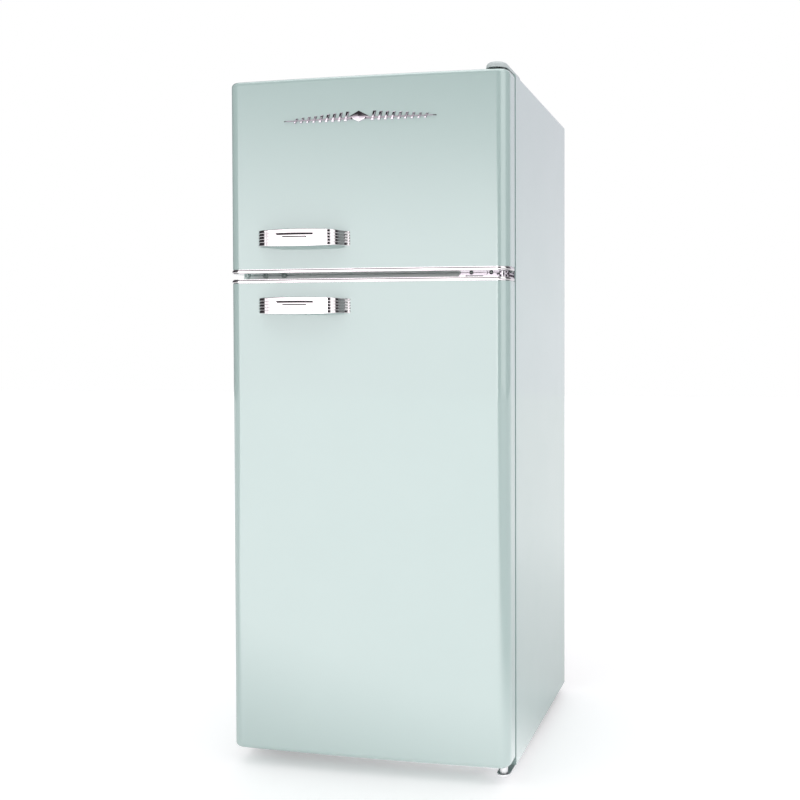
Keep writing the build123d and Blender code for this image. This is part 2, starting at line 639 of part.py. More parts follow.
with BuildPart() as compressor:
    with BuildSketch(Plane.XY.offset(COMPRESSOR_LOW)):
        with Locations((COMPRESSOR_X, COMPRESSOR_Y)):
            Ellipse(COMPRESSOR_LENGTH / 2, COMPRESSOR_WIDTH / 2)
    extrude(amount=COMPRESSOR_TOP - COMPRESSOR_LOW)
    fillet(compressor.edges().group_by(Axis.Z)[-1], SHELL_ROUND_TOP)
    fillet(compressor.edges().group_by(Axis.Z)[0], SHELL_ROUND_BOTTOM)
    with BuildSketch(Plane.XY.offset(SEAM_Z)):
        with Locations((COMPRESSOR_X, COMPRESSOR_Y)):
            Ellipse(COMPRESSOR_LENGTH / 2 + SEAM_PROUD, COMPRESSOR_WIDTH / 2 + SEAM_PROUD)
    extrude(amount=SEAM_HEIGHT)
    with BuildSketch(Plane.XY.offset(MOUNT_PLATE_Z)):
        with Locations((COMPRESSOR_X, COMPRESSOR_Y)):
            RectangleRounded(MOUNT_SPACING[0] + 2 * MOUNT_MARGIN, MOUNT_SPACING[1] + 2 * MOUNT_MARGIN,
                             MOUNT_MARGIN - 1)
        with Locations(*MOUNT_POINTS):
            Circle(MOUNT_HOLE, mode=Mode.SUBTRACT)
    extrude(amount=MOUNT_PLATE_THICK)
    upright(COMPRESSOR_X, COMPRESSOR_Y, MOUNT_PLATE_Z + MOUNT_PLATE_THICK, COMPRESSOR_LOW + 2,
            PEDESTAL_RADIUS)
compressor.part.label = "compressor"
export_step(compressor.part, "parts/compressor.step")

GROMMET_RADIUS = 10.0
GROMMET_WAIST = 7.5
GROMMET_RIM = 7.0

with BuildPart() as compressor_grommets:
    for x, y in MOUNT_POINTS:
        upright(x, y, PAN_TOP, PAN_TOP + GROMMET_RIM, GROMMET_RADIUS)
        upright(x, y, PAN_TOP + GROMMET_RIM, MOUNT_PLATE_Z - GROMMET_RIM, GROMMET_WAIST)
        upright(x, y, MOUNT_PLATE_Z - GROMMET_RIM, MOUNT_PLATE_Z, GROMMET_RADIUS)
        upright(x, y, PAN_TOP, MOUNT_PLATE_Z, BOLT_RADIUS + 0.2, Mode.SUBTRACT)
compressor_grommets.part.label = "compressor_grommets"
export_step(compressor_grommets.part, "parts/compressor_grommets.step")

RELAY_X = COMPRESSOR_X + COMPRESSOR_LENGTH / 2 + 4
RELAY_DEPTH = 26.0
RELAY_HALF = 26.0
RELAY_LEVELS = (76.0, 138.0)

with BuildPart() as start_relay_cover:
    block(RELAY_X, RELAY_X + RELAY_DEPTH, COMPRESSOR_Y - RELAY_HALF, COMPRESSOR_Y + RELAY_HALF,
          *RELAY_LEVELS)
    fillet(start_relay_cover.faces().sort_by(Axis.X)[-1].edges(), 5)
start_relay_cover.part.label = "start_relay_cover"
export_step(start_relay_cover.part, "parts/start_relay_cover.step")

DRIER_X = 222.0
DRIER_Y = 258.0
DRIER = (88.0, 204.0)
DRIER_RADIUS = 9.0
DRIER_NECK = 3.5
DRIER_TAPER = 10.0

with BuildPart() as filter_drier:
    upright(DRIER_X, DRIER_Y, DRIER[0] + DRIER_TAPER, DRIER[1] - DRIER_TAPER, DRIER_RADIUS)
    for z0, z1 in ((DRIER[0] + DRIER_TAPER, DRIER[0]), (DRIER[1] - DRIER_TAPER, DRIER[1])):
        with BuildSketch(Plane.XY.offset(z0)) as base:
            with Locations((DRIER_X, DRIER_Y)):
                Circle(DRIER_RADIUS)
        with BuildSketch(Plane.XY.offset(z1)) as neck:
            with Locations((DRIER_X, DRIER_Y)):
                Circle(DRIER_NECK)
        loft([base.sketch, neck.sketch])
filter_drier.part.label = "filter_drier"
export_step(filter_drier.part, "parts/filter_drier.step")

DISCHARGE_X = -70.0
DISCHARGE_Z = 140.0
CROSSOVER_Z = 285.0
RISER_X = -262.0
DRIER_INLET_Z = 222.0
SUCTION_X = -46.0
SUCTION_Y = COMPRESSOR_Y - 15.0
SUCTION_Z = 98.0
SUCTION_RADIUS = 4.0
SUCTION_EXIT_Y = 150.0
CAPILLARY_Z = 60.0
CAPILLARY_RADIUS = 1.5
CAPILLARY_EXIT_Y = 160.0
SHORT_BEND = 8.0

with BuildPart() as refrigerant_pipes:
    stub_x = COMPRESSOR_X - COMPRESSOR_LENGTH / 2 - 0.5
    pipe([(stub_x, COMPRESSOR_Y, DISCHARGE_Z), (DISCHARGE_X, COMPRESSOR_Y, DISCHARGE_Z),
          (DISCHARGE_X, CONDENSER_Y, DISCHARGE_Z), (DISCHARGE_X, CONDENSER_Y, CROSSOVER_Z),
          (RISER_X, CONDENSER_Y, CROSSOVER_Z), (RISER_X, CONDENSER_Y, CONDENSER_LOW),
          (-CONDENSER_HALF, CONDENSER_Y, CONDENSER_LOW)], SHORT_BEND, TUBE_RADIUS)
    pipe([(RETURN_LEG_X, CONDENSER_Y, RETURN_LEG_LOW), (RETURN_LEG_X, CONDENSER_Y, DRIER_INLET_Z),
          (DRIER_X, DRIER_Y, DRIER_INLET_Z), (DRIER_X, DRIER_Y, DRIER[1])], SHORT_BEND, TUBE_RADIUS)
    pipe([(stub_x, SUCTION_Y, SUCTION_Z), (SUCTION_X, SUCTION_Y, SUCTION_Z),
          (SUCTION_X, SUCTION_EXIT_Y, SUCTION_Z), (SUCTION_X, SUCTION_EXIT_Y, COMPARTMENT_TOP)],
         PIPE_BEND, SUCTION_RADIUS)
    pipe([(DRIER_X, DRIER_Y, DRIER[0]), (DRIER_X, DRIER_Y, CAPILLARY_Z),
          (DRIER_X, CAPILLARY_EXIT_Y, CAPILLARY_Z), (DRIER_X, CAPILLARY_EXIT_Y, COMPARTMENT_TOP)],
         PIPE_BEND, CAPILLARY_RADIUS)
refrigerant_pipes.part.label = "refrigerant_pipes"
export_step(refrigerant_pipes.part, "parts/refrigerant_pipes.step")

PAN_HALF = (70.0, 50.0)
PAN_LEVELS = (COMPRESSOR_TOP + 1.0, COMPRESSOR_TOP + 27.0)

with BuildPart() as evaporation_pan:
    tray(COMPRESSOR_X - PAN_HALF[0], COMPRESSOR_X + PAN_HALF[0],
         COMPRESSOR_Y - PAN_HALF[1], COMPRESSOR_Y + PAN_HALF[1], *PAN_LEVELS, 1.6, 12)
evaporation_pan.part.label = "evaporation_pan"
export_step(evaporation_pan.part, "parts/evaporation_pan.step")

with BuildPart() as mains_gland:
    lengthways(GLAND_X, BACK_PANEL_Y - 10, BACK_PANEL_Y + 4, GLAND_Z, GLAND_NECK - 0.1)
    lengthways(GLAND_X, BACK_PANEL_Y - 2, BACK_PANEL_Y + 4, GLAND_Z, GLAND_NECK + 3)
    lengthways(GLAND_X, BACK_PANEL_Y - 11, BACK_PANEL_Y + 5, GLAND_Z, GLAND_BORE, Mode.SUBTRACT)
mains_gland.part.label = "mains_gland"
export_step(mains_gland.part, "parts/mains_gland.step")

# ---- feet and rollers ------------------------------------------------------------------

with BuildPart() as roller_axles:
    for side in (-1, 1):
        crossways(side * ROLLER_X - AXLE_HALF, side * ROLLER_X + AXLE_HALF, ROLLER_Y,
                  ROLLER_RADIUS, AXLE_RADIUS)
roller_axles.part.label = "roller_axles"
export_step(roller_axles.part, "parts/roller_axles.step")

for label, side in (("rear_roller_left", -1), ("rear_roller_right", 1)):
    with BuildPart() as roller:
        x = side * ROLLER_X
        crossways(x - ROLLER_WIDTH / 2, x + ROLLER_WIDTH / 2, ROLLER_Y, ROLLER_RADIUS, ROLLER_RADIUS)
        fillet(roller.edges().filter_by(GeomType.CIRCLE), 1.5)
        crossways(x - ROLLER_WIDTH, x + ROLLER_WIDTH, ROLLER_Y, ROLLER_RADIUS, AXLE_BORE, Mode.SUBTRACT)
    roller.part.label = label
    export_step(roller.part, f"parts/{label}.step")

for label, side in (("front_foot_left", -1), ("front_foot_right", 1)):
    with BuildPart() as foot:
        upright(side * FOOT_X, FOOT_Y, 0, FOOT_PAD, FOOT_RADIUS)
        fillet(foot.edges().group_by(Axis.Z)[-1], 2)
        upright(side * FOOT_X, FOOT_Y, FOOT_PAD, PAN_TOP + 20, STEM_RADIUS)
    foot.part.label = label
    export_step(foot.part, f"parts/{label}.step")

# ---- inside the freezer ----------------------------------------------------------------

SHELF_HALF = 249.0
SHELF_WIRES = 19
SHELF_WIRE_SPREAD = 486.0
ROD_RADIUS = 3.0
SHELF_WIRE_RADIUS = 1.6
ROD_LINES = (SHELF_FRONT - 8.0, 60.0, SHELF_BACK)

with BuildPart() as freezer_shelf:
    for y in ROD_LINES:
        crossways(-SHELF_HALF, SHELF_HALF, y, WIRE_SHELF_Z, ROD_RADIUS)
    for index in range(SHELF_WIRES):
        x = SHELF_WIRE_SPREAD * (index / (SHELF_WIRES - 1) - 0.5)
        lengthways(x, ROD_LINES[0] - 5, ROD_LINES[-1] + 5, WIRE_SHELF_Z + ROD_RADIUS - 0.6,
                   SHELF_WIRE_RADIUS)
freezer_shelf.part.label = "freezer_shelf"
export_step(freezer_shelf.part, "parts/freezer_shelf.step")

ICE_X = -95.0
ICE_Y = 10.0
ICE_LOW = WIRE_SHELF_Z + 5.0
ICE_HEIGHT = 32.0
ICE_SIZE = (110.0, 264.0)
ICE_PITCH = (50.0, 42.0)
ICE_CUP = (44.0, 36.0)
ICE_DEPTH = 28.0

with BuildPart() as ice_tray:
    with BuildSketch(Plane.XY.offset(ICE_LOW)):
        with Locations((ICE_X, ICE_Y)):
            RectangleRounded(*ICE_SIZE, 8)
    extrude(amount=ICE_HEIGHT)
    with BuildSketch(Plane.XY.offset(ICE_LOW + ICE_HEIGHT)):
        with Locations((ICE_X, ICE_Y)):
            with GridLocations(*ICE_PITCH, 2, 6):
                RectangleRounded(*ICE_CUP, 5)
    extrude(amount=-ICE_DEPTH, taper=8, mode=Mode.SUBTRACT)
ice_tray.part.label = "ice_tray"
export_step(ice_tray.part, "parts/ice_tray.step")

# ---- inside the fresh food compartment -------------------------------------------------

with BuildPart() as shelf_glass:
    for level in SHELF_LEVELS[1:]:
        block(-SHELF_HALF, SHELF_HALF, SHELF_FRONT + 8, SHELF_BACK, level, level + GLASS_THICK)
shelf_glass.part.label = "shelf_glass"
export_step(shelf_glass.part, "parts/shelf_glass.step")

with BuildPart() as crisper_cover:
    level = SHELF_LEVELS[0]
    block(-SHELF_HALF, SHELF_HALF, SHELF_FRONT + 8, SHELF_BACK, level, level + GLASS_THICK)
crisper_cover.part.label = "crisper_cover"
export_step(crisper_cover.part, "parts/crisper_cover.step")

with BuildPart() as shelf_trims:
    for level in SHELF_LEVELS:
        block(-SHELF_HALF - 1, SHELF_HALF + 1, SHELF_FRONT, SHELF_FRONT + 15,
              level - 4, level + GLASS_THICK + 4)
    fillet(shelf_trims.edges().filter_by(Axis.X).group_by(Axis.Y)[0], 3)
    for level in SHELF_LEVELS:
        block(-SHELF_HALF - 2, SHELF_HALF + 2, SHELF_FRONT + 8, SHELF_FRONT + 16,
              level, level + GLASS_THICK, Mode.SUBTRACT)
shelf_trims.part.label = "shelf_trims"
export_step(shelf_trims.part, "parts/shelf_trims.step")

CRISPER = (74.0, 258.0)
CRISPER_HALF = 238.0
CRISPER_FRONT = -115.0
CRISPER_BACK = 80.0
CRISPER_WALL = 2.5
GRIP_HALF = 70.0
GRIP_HEIGHT = 18.0
GRIP_DEPTH = 4.0

with BuildPart() as crisper_drawer:
    front_top = CRISPER[1] + 8
    tray(-CRISPER_HALF, CRISPER_HALF, CRISPER_FRONT + 1, CRISPER_BACK, *CRISPER, CRISPER_WALL, 14)
    block(-CRISPER_HALF - 2, CRISPER_HALF + 2, CRISPER_FRONT, CRISPER_FRONT + 3, CRISPER[0], front_top)
    block(-GRIP_HALF, GRIP_HALF, CRISPER_FRONT - GRIP_DEPTH, CRISPER_FRONT,
          front_top - GRIP_HEIGHT, front_top)
crisper_drawer.part.label = "crisper_drawer"
export_step(crisper_drawer.part, "parts/crisper_drawer.step")

LENS = (-82.0, 10.0, -128.0, -52.0)
HOUSING_WALL = 2.0

with BuildPart() as thermostat_housing:
    ceiling = FRIDGE_CAVITY[1]
    block(-CONTROL_HALF, CONTROL_HALF, CONTROL_FRONT, CONTROL_BACK, CONTROL_LOW, ceiling)
    fillet(thermostat_housing.edges().filter_by(Axis.X).group_by(Axis.Z)[0], 6)
    block(-CONTROL_HALF + HOUSING_WALL, CONTROL_HALF - HOUSING_WALL, CONTROL_FRONT + 12, CONTROL_BACK - 6,
          CONTROL_LOW + HOUSING_WALL, ceiling - HOUSING_WALL, Mode.SUBTRACT)
    block(LENS[0], LENS[1], LENS[2], LENS[3], CONTROL_LOW - 1, CONTROL_LOW + 3, Mode.SUBTRACT)
    lengthways(KNOB_X, CONTROL_FRONT - 1, CONTROL_FRONT + 13, KNOB_Z, AXLE_BORE, Mode.SUBTRACT)
    lengthways(PLUNGER_X, CONTROL_FRONT - 1, CONTROL_FRONT + 13, PLUNGER_Z, PLUNGER_BORE, Mode.SUBTRACT)
thermostat_housing.part.label = "thermostat_housing"
export_step(thermostat_housing.part, "parts/thermostat_housing.step")

with BuildPart() as lamp_lens:
    block(LENS[0] + 0.3, LENS[1] - 0.3, LENS[2] + 0.3, LENS[3] - 0.3, CONTROL_LOW - 6, CONTROL_LOW + 2)
    fillet(lamp_lens.faces().sort_by(Axis.Z)[0].edges(), 4)
    block(LENS[0] + 2, LENS[1] - 2, LENS[2] + 2, LENS[3] - 2,
          CONTROL_LOW - 4, CONTROL_LOW + 3, Mode.SUBTRACT)
lamp_lens.part.label = "lamp_lens"
export_step(lamp_lens.part, "parts/lamp_lens.step")

with BuildPart() as interior_lamp:
    lamp_x = (LENS[0] + LENS[1]) / 2
    lamp_y = (LENS[2] + LENS[3]) / 2
    bulb = 12
    neck = 7
    bulb_x = -((bulb**2 - neck**2) ** 0.5)
    with BuildSketch(Plane(origin=(lamp_x, lamp_y, KNOB_Z), x_dir=(1, 0, 0), z_dir=(0, -1, 0))):
        with BuildLine():
            Polyline((bulb_x - bulb, 0), (34, 0), (34, 9), (12, 9), (12, neck), (0, neck))
            ThreePointArc((0, neck), (bulb_x, bulb), (bulb_x - bulb, 0))
        make_face()
    revolve(axis=Axis((lamp_x, lamp_y, KNOB_Z), (1, 0, 0)))
interior_lamp.part.label = "interior_lamp"
export_step(interior_lamp.part, "parts/interior_lamp.step")

with BuildPart() as thermostat_knob:
    lengthways(KNOB_X, CONTROL_FRONT - 9.5, CONTROL_FRONT - 0.5, KNOB_Z, KNOB_RADIUS)
    fillet(thermostat_knob.faces().sort_by(Axis.Y)[0].edges(), 2)
    block(KNOB_X - 2.5, KNOB_X + 2.5, CONTROL_FRONT - 13, CONTROL_FRONT - 9.5,
          KNOB_Z - KNOB_RADIUS + 3, KNOB_Z + KNOB_RADIUS - 3)
    lengthways(KNOB_X, CONTROL_FRONT - 0.5, CONTROL_FRONT + 16, KNOB_Z, AXLE_RADIUS)
thermostat_knob.part.label = "thermostat_knob"
export_step(thermostat_knob.part, "parts/thermostat_knob.step")

with BuildPart() as door_switch_plunger:
    lengthways(PLUNGER_X, CONTROL_FRONT - 19.5, CONTROL_FRONT + 26, PLUNGER_Z, PLUNGER_RADIUS)
    fillet(door_switch_plunger.faces().sort_by(Axis.Y)[0].edges(), 2)
    lengthways(PLUNGER_X, CONTROL_FRONT + 20, CONTROL_FRONT + 23, PLUNGER_Z, 6)
door_switch_plunger.part.label = "door_switch_plunger"
export_step(door_switch_plunger.part, "parts/door_switch_plunger.step")

# ---- doors -----------------------------------------------------------------------------

FREEZER_SKIN = (FREEZER_DOOR[0] + TRIM_HEIGHT, FREEZER_DOOR[1] - CAP_HEIGHT)
FRIDGE_SKIN = (FRIDGE_DOOR[0] + CAP_HEIGHT, FRIDGE_DOOR[1] - TRIM_HEIGHT)
FREEZER_DIKE = (1056.0, 1326.0)
FRIDGE_DIKE = (90.0, 940.0)
FREEZER_DIKE_TIP = -196.0
FRIDGE_DIKE_TIP = -181.0
BOSS_LENGTH = 12.0

DOORS = (
    ("freezer_door", FREEZER_DOOR, FREEZER_SKIN, FREEZER_DIKE, FREEZER_DIKE_TIP),
    ("fridge_door", FRIDGE_DOOR, FRIDGE_SKIN, FRIDGE_DIKE, FRIDGE_DIKE_TIP),
)

for name, door, skin, dike, tip in DOORS:
    with BuildPart() as door_skin:
        door_prism(0, DOOR_BACK, *skin)
        door_prism(SHEET, DOOR_BACK, *skin, mode=Mode.SUBTRACT)
        for side in (-1, 1):
            edge = side * HALF
            fold = side * (HALF - SKIN_RETURN)
            block(min(edge, fold), max(edge, fold), DOOR_BACK - SHEET, DOOR_BACK, *skin)
    door_skin.part.label = f"{name}_skin"
    export_step(door_skin.part, f"parts/{name}_skin.step")

    with BuildPart() as door_liner:
        plate_half = HALF - SKIN_RETURN - 0.2
        block(-plate_half, plate_half, DOOR_BACK - LINER_THICK, DOOR_BACK, *skin)
        ring(DIKE_HALF, *dike, DIKE_WIDTH, DOOR_BACK, tip)
        ring(DIKE_HALF - LINER_THICK, dike[0] + LINER_THICK, dike[1] - LINER_THICK,
             DIKE_WIDTH - 2 * LINER_THICK, DOOR_BACK - LINER_THICK, tip - LINER_THICK, Mode.SUBTRACT)
    door_liner.part.label = f"{name}_liner"
    export_step(door_liner.part, f"parts/{name}_liner.step")

    with BuildPart() as door_foam:
        foam_back = DOOR_BACK - LINER_THICK
        door_prism(SHEET, foam_back, *skin)
        boss_z = skin[0] if name == "freezer_door" else skin[1] - BOSS_LENGTH
        upright(HINGE_X, HINGE_Y, boss_z, boss_z + BOSS_LENGTH, BOSS_RADIUS + 0.3, Mode.SUBTRACT)
    with BuildPart() as dike_foam:
        ring(DIKE_HALF - LINER_THICK, dike[0] + LINER_THICK, dike[1] - LINER_THICK,
             DIKE_WIDTH - 2 * LINER_THICK, foam_back, tip - LINER_THICK)
        inner = DIKE_HALF - DIKE_WIDTH + LINER_THICK
        for z in (dike[0] + DIKE_WIDTH - LINER_THICK, dike[1] - DIKE_WIDTH + LINER_THICK):
            split(bisect_by=Plane.XY.offset(z), keep=Keep.BOTH)
    foam_pieces = Compound(label=f"{name}_foam",
                           children=[*door_foam.part.solids(), *dike_foam.part.solids()])
    export_step(foam_pieces, f"parts/{name}_foam.step")

    with BuildPart() as door_gasket:
        ring(GASKET_HALF, door[0] + GASKET_INSET, door[1] - GASKET_INSET, GASKET_WIDTH,
             DOOR_BACK, DOOR_BACK + GASKET_THICK)
        fillet(door_gasket.edges().filter_by(Axis.Y), 3)
    door_gasket.part.label = f"{name}_gasket"
    export_step(door_gasket.part, f"parts/{name}_gasket.step")

    with BuildPart() as door_trim:
        low = door[0] if name == "freezer_door" else door[1] - TRIM_HEIGHT
        door_prism(0, DOOR_BACK, low, low + TRIM_HEIGHT, TRIM_PROUD)
        fillet(door_trim.edges().filter_by(Plane.XY).group_by(Axis.Y)[0], 1.1)
        door_prism(TRIM_DEPTH, DOOR_BACK, low, low + TRIM_HEIGHT, mode=Mode.SUBTRACT)
        block(-HALF, HALF, DOOR_BACK - 6, DOOR_BACK, low, low + TRIM_HEIGHT, Mode.SUBTRACT)
    door_trim.part.label = f"{name}_trim"
    export_step(door_trim.part, f"parts/{name}_trim.step")

with BuildPart() as freezer_door_caps:
    low, high = FREEZER_SKIN[1], FREEZER_DOOR[1]
    door_prism(0, DOOR_BACK, low, high)
    rim = freezer_door_caps.faces().sort_by(Axis.Z)[-1].edges().sort_by(Axis.Y)[:-1]
    fillet(rim, EDGE_ROUND)
    door_prism(3 + EDGE_ROUND, DOOR_BACK - 3, low, high - 4, mode=Mode.SUBTRACT)
    upright(HINGE_X, HINGE_Y, low, high, BOSS_RADIUS)
    upright(HINGE_X, HINGE_Y, low + 1, high, PIN_BORE, Mode.SUBTRACT)
    low = FREEZER_DOOR[0]
    door_prism(TRIM_DEPTH, DOOR_BACK, low, FREEZER_SKIN[0])
    upright(HINGE_X, HINGE_Y, FREEZER_SKIN[0], FREEZER_SKIN[0] + BOSS_LENGTH, BOSS_RADIUS)
    upright(HINGE_X, HINGE_Y, low, low + 16, PIN_BORE, Mode.SUBTRACT)
freezer_door_caps.part.label = "freezer_door_caps"
export_step(freezer_door_caps.part, "parts/freezer_door_caps.step")

with BuildPart() as fridge_door_caps:
    low, high = FRIDGE_DOOR[0], FRIDGE_SKIN[0]
    door_prism(0, DOOR_BACK, low, high)
    rim = fridge_door_caps.faces().sort_by(Axis.Z)[0].edges().sort_by(Axis.Y)[:-1]
    fillet(rim, EDGE_ROUND)
    door_prism(3 + EDGE_ROUND, DOOR_BACK - 3, low + 4, high, mode=Mode.SUBTRACT)
    upright(HINGE_X, HINGE_Y, low, high, BOSS_RADIUS)
    upright(HINGE_X, HINGE_Y, low, high - 1.5, PIN_BORE, Mode.SUBTRACT)
    high = FRIDGE_DOOR[1]
    door_prism(TRIM_DEPTH, DOOR_BACK, FRIDGE_SKIN[1], high)
    upright(HINGE_X, HINGE_Y, FRIDGE_SKIN[1] - BOSS_LENGTH, FRIDGE_SKIN[1], BOSS_RADIUS)
    upright(HINGE_X, HINGE_Y, high - 16, high, PIN_BORE, Mode.SUBTRACT)
fridge_door_caps.part.label = "fridge_door_caps"
export_step(fridge_door_caps.part, "parts/fridge_door_caps.step")

# ---- handles and badge -----------------------------------------------------------------

GROOVE_HEIGHT = 2.4
GROOVE_DEPTH = 1.2
GROOVES = (-9.0, 0.0, 9.0)
LEG_FOOT_Y = DOOR_FRONT + 12.0
LEG_SPLAY = 27.0
FRONT_BOW = 7.0


def handle_plan(inset):
    """Handle from above: a slightly bowed front, rounded shoulders and splayed legs."""
    half = HANDLE_LENGTH / 2 - inset
    shoulder = half - LEG_SPLAY
    front = -DEPTH_LIMIT + inset
    side = front + FRONT_BOW
    with BuildSketch() as plan:
        with BuildLine():
            Line((half, LEG_FOOT_Y), (shoulder, side))
            ThreePointArc((shoulder, side), (0, front), (-shoulder, side))
            Polyline((-shoulder, side), (-half, LEG_FOOT_Y), (half, LEG_FOOT_Y))
        make_face()
        fillet(plan.vertices().group_by(Axis.Y)[0], HANDLE_SHOULDER - inset)
    return plan.sketch


def handle_front(z):
    """Handle from the front: tallest in the middle, lower at the ends."""
    half = HANDLE_LENGTH / 2
    ends = HANDLE_END_HEIGHT / 2
    middle = HANDLE_MIDDLE_HEIGHT / 2
    with BuildSketch(Plane.XZ) as front:
        with BuildLine():
            ThreePointArc((HANDLE_X - half, z + ends), (HANDLE_X, z + middle), (HANDLE_X + half, z + ends))
            Line((HANDLE_X + half, z + ends), (HANDLE_X + half, z - ends))
            ThreePointArc((HANDLE_X + half, z - ends), (HANDLE_X, z - middle), (HANDLE_X - half, z - ends))
            Line((HANDLE_X - half, z - ends), (HANDLE_X - half, z + ends))
        make_face()
    return front.sketch


for label, z in (("freezer_handle", FREEZER_HANDLE_Z), ("fridge_handle", FRIDGE_HANDLE_Z)):
    with BuildPart() as handle:
        with BuildSketch(Plane.XY.offset(z)):
            with Locations((HANDLE_X, 0)):
                add(handle_plan(0))
                add(handle_plan(HANDLE_BAND), mode=Mode.SUBTRACT)
        extrude(amount=HANDLE_MIDDLE_HEIGHT / 2, both=True)
        for groove in GROOVES:
            with BuildSketch(Plane.XY.offset(z + groove)):
                with Locations((HANDLE_X, 0)):
                    add(handle_plan(-1))
                    add(handle_plan(GROOVE_DEPTH), mode=Mode.SUBTRACT)
            extrude(amount=GROOVE_HEIGHT / 2, both=True, mode=Mode.SUBTRACT)
        extrude(handle_front(z), amount=DEPTH_LIMIT + 10, mode=Mode.INTERSECT)
        door_prism(0, 0, z - 30, z + 30, mode=Mode.SUBTRACT)
    handle.part.label = label
    export_step(handle.part, f"parts/{label}.step")

LOZENGE_HALF = 34.0
SPEAR_HALF = 3.0

with BuildPart() as badge:
    with BuildSketch(Plane.XZ.offset(-DOOR_FRONT - 10)) as outline:
        reach = BADGE_LENGTH / 2
        rise = BADGE_HEIGHT / 2
        with Locations((BADGE_X, BADGE_Z)):
            Polygon((-reach, 0), (-LOZENGE_HALF, SPEAR_HALF), (0, rise), (LOZENGE_HALF, SPEAR_HALF),
                    (reach, 0), (LOZENGE_HALF, -SPEAR_HALF), (0, -rise), (-LOZENGE_HALF, -SPEAR_HALF))
    extrude(amount=30)
    low, high = BADGE_Z - BADGE_HEIGHT, BADGE_Z + BADGE_HEIGHT
    door_prism(0, 0, low, high, BADGE_THICK, Mode.INTERSECT)
    door_prism(0, 0, low, high, 0.05, Mode.SUBTRACT)
badge.part.label = "badge"
export_step(badge.part, "parts/badge.step")

# ---- door bins -------------------------------------------------------------------------

BIN_BACK = DOOR_BACK + 0.5
BIN_WALL = 2.5
BIN_CORNER = 10.0
DOOR_BIN_LEVELS = (400.0, 690.0)
DOOR_BIN_TIP = -134.0
DOOR_BIN_HEIGHT = 70.0
FREEZER_BIN = (1086.0, 1156.0)
FREEZER_BIN_TIP = -144.0
BOTTLE_BIN = (120.0, 226.0)
BOTTLE_BIN_TIP = -124.0

with BuildPart() as freezer_door_bin:
    tray(-BIN_HALF, BIN_HALF, BIN_BACK, FREEZER_BIN_TIP, *FREEZER_BIN, BIN_WALL, BIN_CORNER)
freezer_door_bin.part.label = "freezer_door_bin"
export_step(freezer_door_bin.part, "parts/freezer_door_bin.step")

with BuildPart() as fridge_door_bins:
    for level in DOOR_BIN_LEVELS:
        tray(-BIN_HALF, BIN_HALF, BIN_BACK, DOOR_BIN_TIP, level, level + DOOR_BIN_HEIGHT,
             BIN_WALL, BIN_CORNER)
fridge_door_bins.part.label = "fridge_door_bins"
export_step(fridge_door_bins.part, "parts/fridge_door_bins.step")

with BuildPart() as bottle_bin:
    tray(-BIN_HALF, BIN_HALF, BIN_BACK, BOTTLE_BIN_TIP, *BOTTLE_BIN, BIN_WALL, BIN_CORNER)
bottle_bin.part.label = "bottle_bin"
export_step(bottle_bin.part, "parts/bottle_bin.step")

EGG_LOW = DOOR_BIN_LEVELS[1] + BIN_WALL + 0.5
EGG_TOP = EGG_LOW + 22.0
EGG_HALF = 110.0
EGG_PITCH = 42.0
EGG_CUP = 18.0

with BuildPart() as egg_tray:
    block(-EGG_HALF, EGG_HALF, BIN_BACK + 6, DOOR_BIN_TIP - 6, EGG_LOW, EGG_TOP)
    fillet(egg_tray.edges().filter_by(Axis.Z), 8)
    with BuildSketch(Plane.XY.offset(EGG_TOP)):
        with Locations((0, (BIN_BACK + DOOR_BIN_TIP) / 2)):
            with GridLocations(EGG_PITCH, 1, 5, 1):
                Circle(EGG_CUP)
    extrude(amount=-16, taper=20, mode=Mode.SUBTRACT)
egg_tray.part.label = "egg_tray"
export_step(egg_tray.part, "parts/egg_tray.step")
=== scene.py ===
import json
import math
import bmesh
import bpy
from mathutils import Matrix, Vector


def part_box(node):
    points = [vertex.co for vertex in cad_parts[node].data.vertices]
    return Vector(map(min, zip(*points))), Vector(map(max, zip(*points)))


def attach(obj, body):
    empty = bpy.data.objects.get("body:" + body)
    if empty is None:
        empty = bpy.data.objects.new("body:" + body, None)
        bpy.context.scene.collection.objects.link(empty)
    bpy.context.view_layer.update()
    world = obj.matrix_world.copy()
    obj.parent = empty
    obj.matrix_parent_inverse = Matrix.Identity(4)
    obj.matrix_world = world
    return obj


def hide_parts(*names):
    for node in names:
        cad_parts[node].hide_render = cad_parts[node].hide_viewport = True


# A top freezer refrigerator in pale mint enamel with chrome band handles.
# Everything is in metres, in the frame's axes: +Z up, the doors face -Y, hinges on +X.

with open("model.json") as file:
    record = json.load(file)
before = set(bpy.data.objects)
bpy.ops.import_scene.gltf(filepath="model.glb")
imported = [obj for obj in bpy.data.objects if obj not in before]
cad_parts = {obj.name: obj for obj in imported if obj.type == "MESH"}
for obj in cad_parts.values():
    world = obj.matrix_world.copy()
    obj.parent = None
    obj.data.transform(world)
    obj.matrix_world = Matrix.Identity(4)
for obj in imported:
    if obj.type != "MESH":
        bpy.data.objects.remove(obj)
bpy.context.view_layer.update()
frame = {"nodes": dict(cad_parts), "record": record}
nodes = frame["nodes"]
scene = bpy.context.scene
scene.view_settings.view_transform = "Standard"

MM = 0.001

# ---- camera, floor and light ------------------------------------------------------------

CAMERA_AT = (0.767, -2.146, 0.863)
CAMERA_TURN = math.radians(11.19)
CAMERA_TILT = math.radians(-1.24)
CAMERA_LENS = 45.2
CAMERA_SHIFT = (-0.2018, -0.0437)


def make_camera():
    """The camera stands to the hinge side and low enough not to see the top."""
    data = bpy.data.cameras.new("camera")
    data.lens = CAMERA_LENS
    data.shift_x, data.shift_y = CAMERA_SHIFT
    camera = bpy.data.objects.new("camera", data)
    camera.location = CAMERA_AT
    camera.rotation_euler = (math.pi / 2 + CAMERA_TILT, 0, CAMERA_TURN)
    scene.collection.objects.link(camera)
    scene.camera = camera


